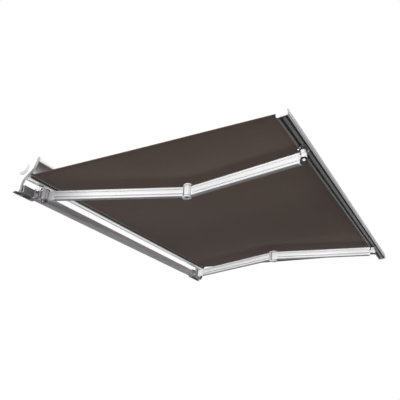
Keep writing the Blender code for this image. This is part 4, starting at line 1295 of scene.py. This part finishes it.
def makeRoll():
    half = clothLine()[2]
    tube, top = cloth["tube"], cloth["rollTop"]
    layers = 12
    left = []
    for k in range(layers + 1):
        radius = tube + (top - 0.0003 - tube) * k / layers
        left.append((radius, -half + (0.0012 if k % 2 else 0.0)))
    right = [(radius, -x) for radius, x in reversed(left)]
    body = [(top, -half + 0.0008), (top, 0.0), (top, half - 0.0008)]
    piece = turned("wound_canvas", left + body + right, (0, rollerAxis.y, rollerAxis.z), wayX, 64,
                   hollow=True)
    uv = piece.data.uv_layers.new(name="cloth")
    for loop in piece.data.loops:
        co = piece.data.vertices[loop.vertex_index].co
        angle = math.atan2(co.z - rollerAxis.z, co.y - rollerAxis.y)
        uv.data[loop.index].uv = (co.x, angle * top)
    smooth(piece, 40)
    finishPiece(piece, "canvas", "roller", "fabric_roll")


def makeKeder():
    low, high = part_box("fabric_keder")
    radius = (high[2] - low[2]) / 2
    centre = ((low[1] + high[1]) / 2, (low[2] + high[2]) / 2)
    outline = arcPoints(centre, radius, 0, 345, 23)
    piece = rail("keder_cord", outline, low[0], high[0])
    uv = piece.data.uv_layers[0]
    uv.name = "cloth"
    for loop in piece.data.loops:
        co = piece.data.vertices[loop.vertex_index].co
        uv.data[loop.index].uv = (co.x, math.atan2(co.z - centre[1], co.y - centre[0]) * radius)
    smooth(piece, 40)
    finishPiece(piece, "canvas", "front", "fabric_keder")


makeRoll()
makeKeder()
makeCanvas()
print("canvas made")

# the other solids: merged copy, rounded edges, own finish

dress = {
    "bevel": {"default": (0.0010, 2), "torsion_bar": (0.0028, 3), "tilt_block": (0.0016, 3),
              "clamp_bolt": (0.0007, 2), "tilt_bolt": (0.0008, 2)},
    "finish": {"shoulder_bracket": "greyCasting", "tilt_block": "paleCasting", "clamp_bolt": "zinc",
               "tilt_bolt": "zinc", "shoulder_pin": "zinc", "bar_plug": "black", "drive_wheel": "black",
               "idler_plug": "black", "idler_bearing": "zinc", "tube_motor": "zinc", "arm_spring": "zinc",
               "arm_cable": "zinc",
               "roller_tube": "mill", "torsion_bar": "barPaint"},
    "leftAlone": ("roller_tube", "tube_motor", "arm_spring", "arm_cable", "drive_wheel", "idler_plug",
                  "idler_bearing", "bar_plug"),
}


def lookUp(table, name, other):
    found = [key for key in table if name.startswith(key)]
    return table[max(found, key=len)] if found else other


def dressNode(name):
    piece = bpy.data.objects.new(name + "_dressed", nodes[name].data.copy())
    bpy.context.scene.collection.objects.link(piece)
    onlyThis(piece)
    bpy.ops.object.mode_set(mode="EDIT")
    bpy.ops.mesh.select_all(action="SELECT")
    bpy.ops.mesh.remove_doubles(threshold=0.00001)
    bpy.ops.mesh.dissolve_limited(angle_limit=math.radians(0.5))
    bpy.ops.object.mode_set(mode="OBJECT")
    width, steps = lookUp(dress["bevel"], name, dress["bevel"]["default"])
    roundEdges(piece, width, steps, 28)
    smooth(piece, 38)
    return finishPiece(piece, lookUp(dress["finish"], name, "white"), bodyOf[name], name)


for name in sorted(nodes):
    if name in replaced:
        continue
    if name.startswith(dress["leftAlone"]):
        nodes[name].data.materials.clear()
        nodes[name].data.materials.append(mats[lookUp(dress["finish"], name, "white")])
        continue
    made = dressNode(name)
    if name == "torsion_bar":
        # painted shade: the bar's downward faces take the darker copy of its paint
        made.data.materials.append(mats["barUnder"])
        for face in made.data.polygons:
            if face.normal.z < -0.6:
                face.material_index = 1
print("solids dressed")

print("done")
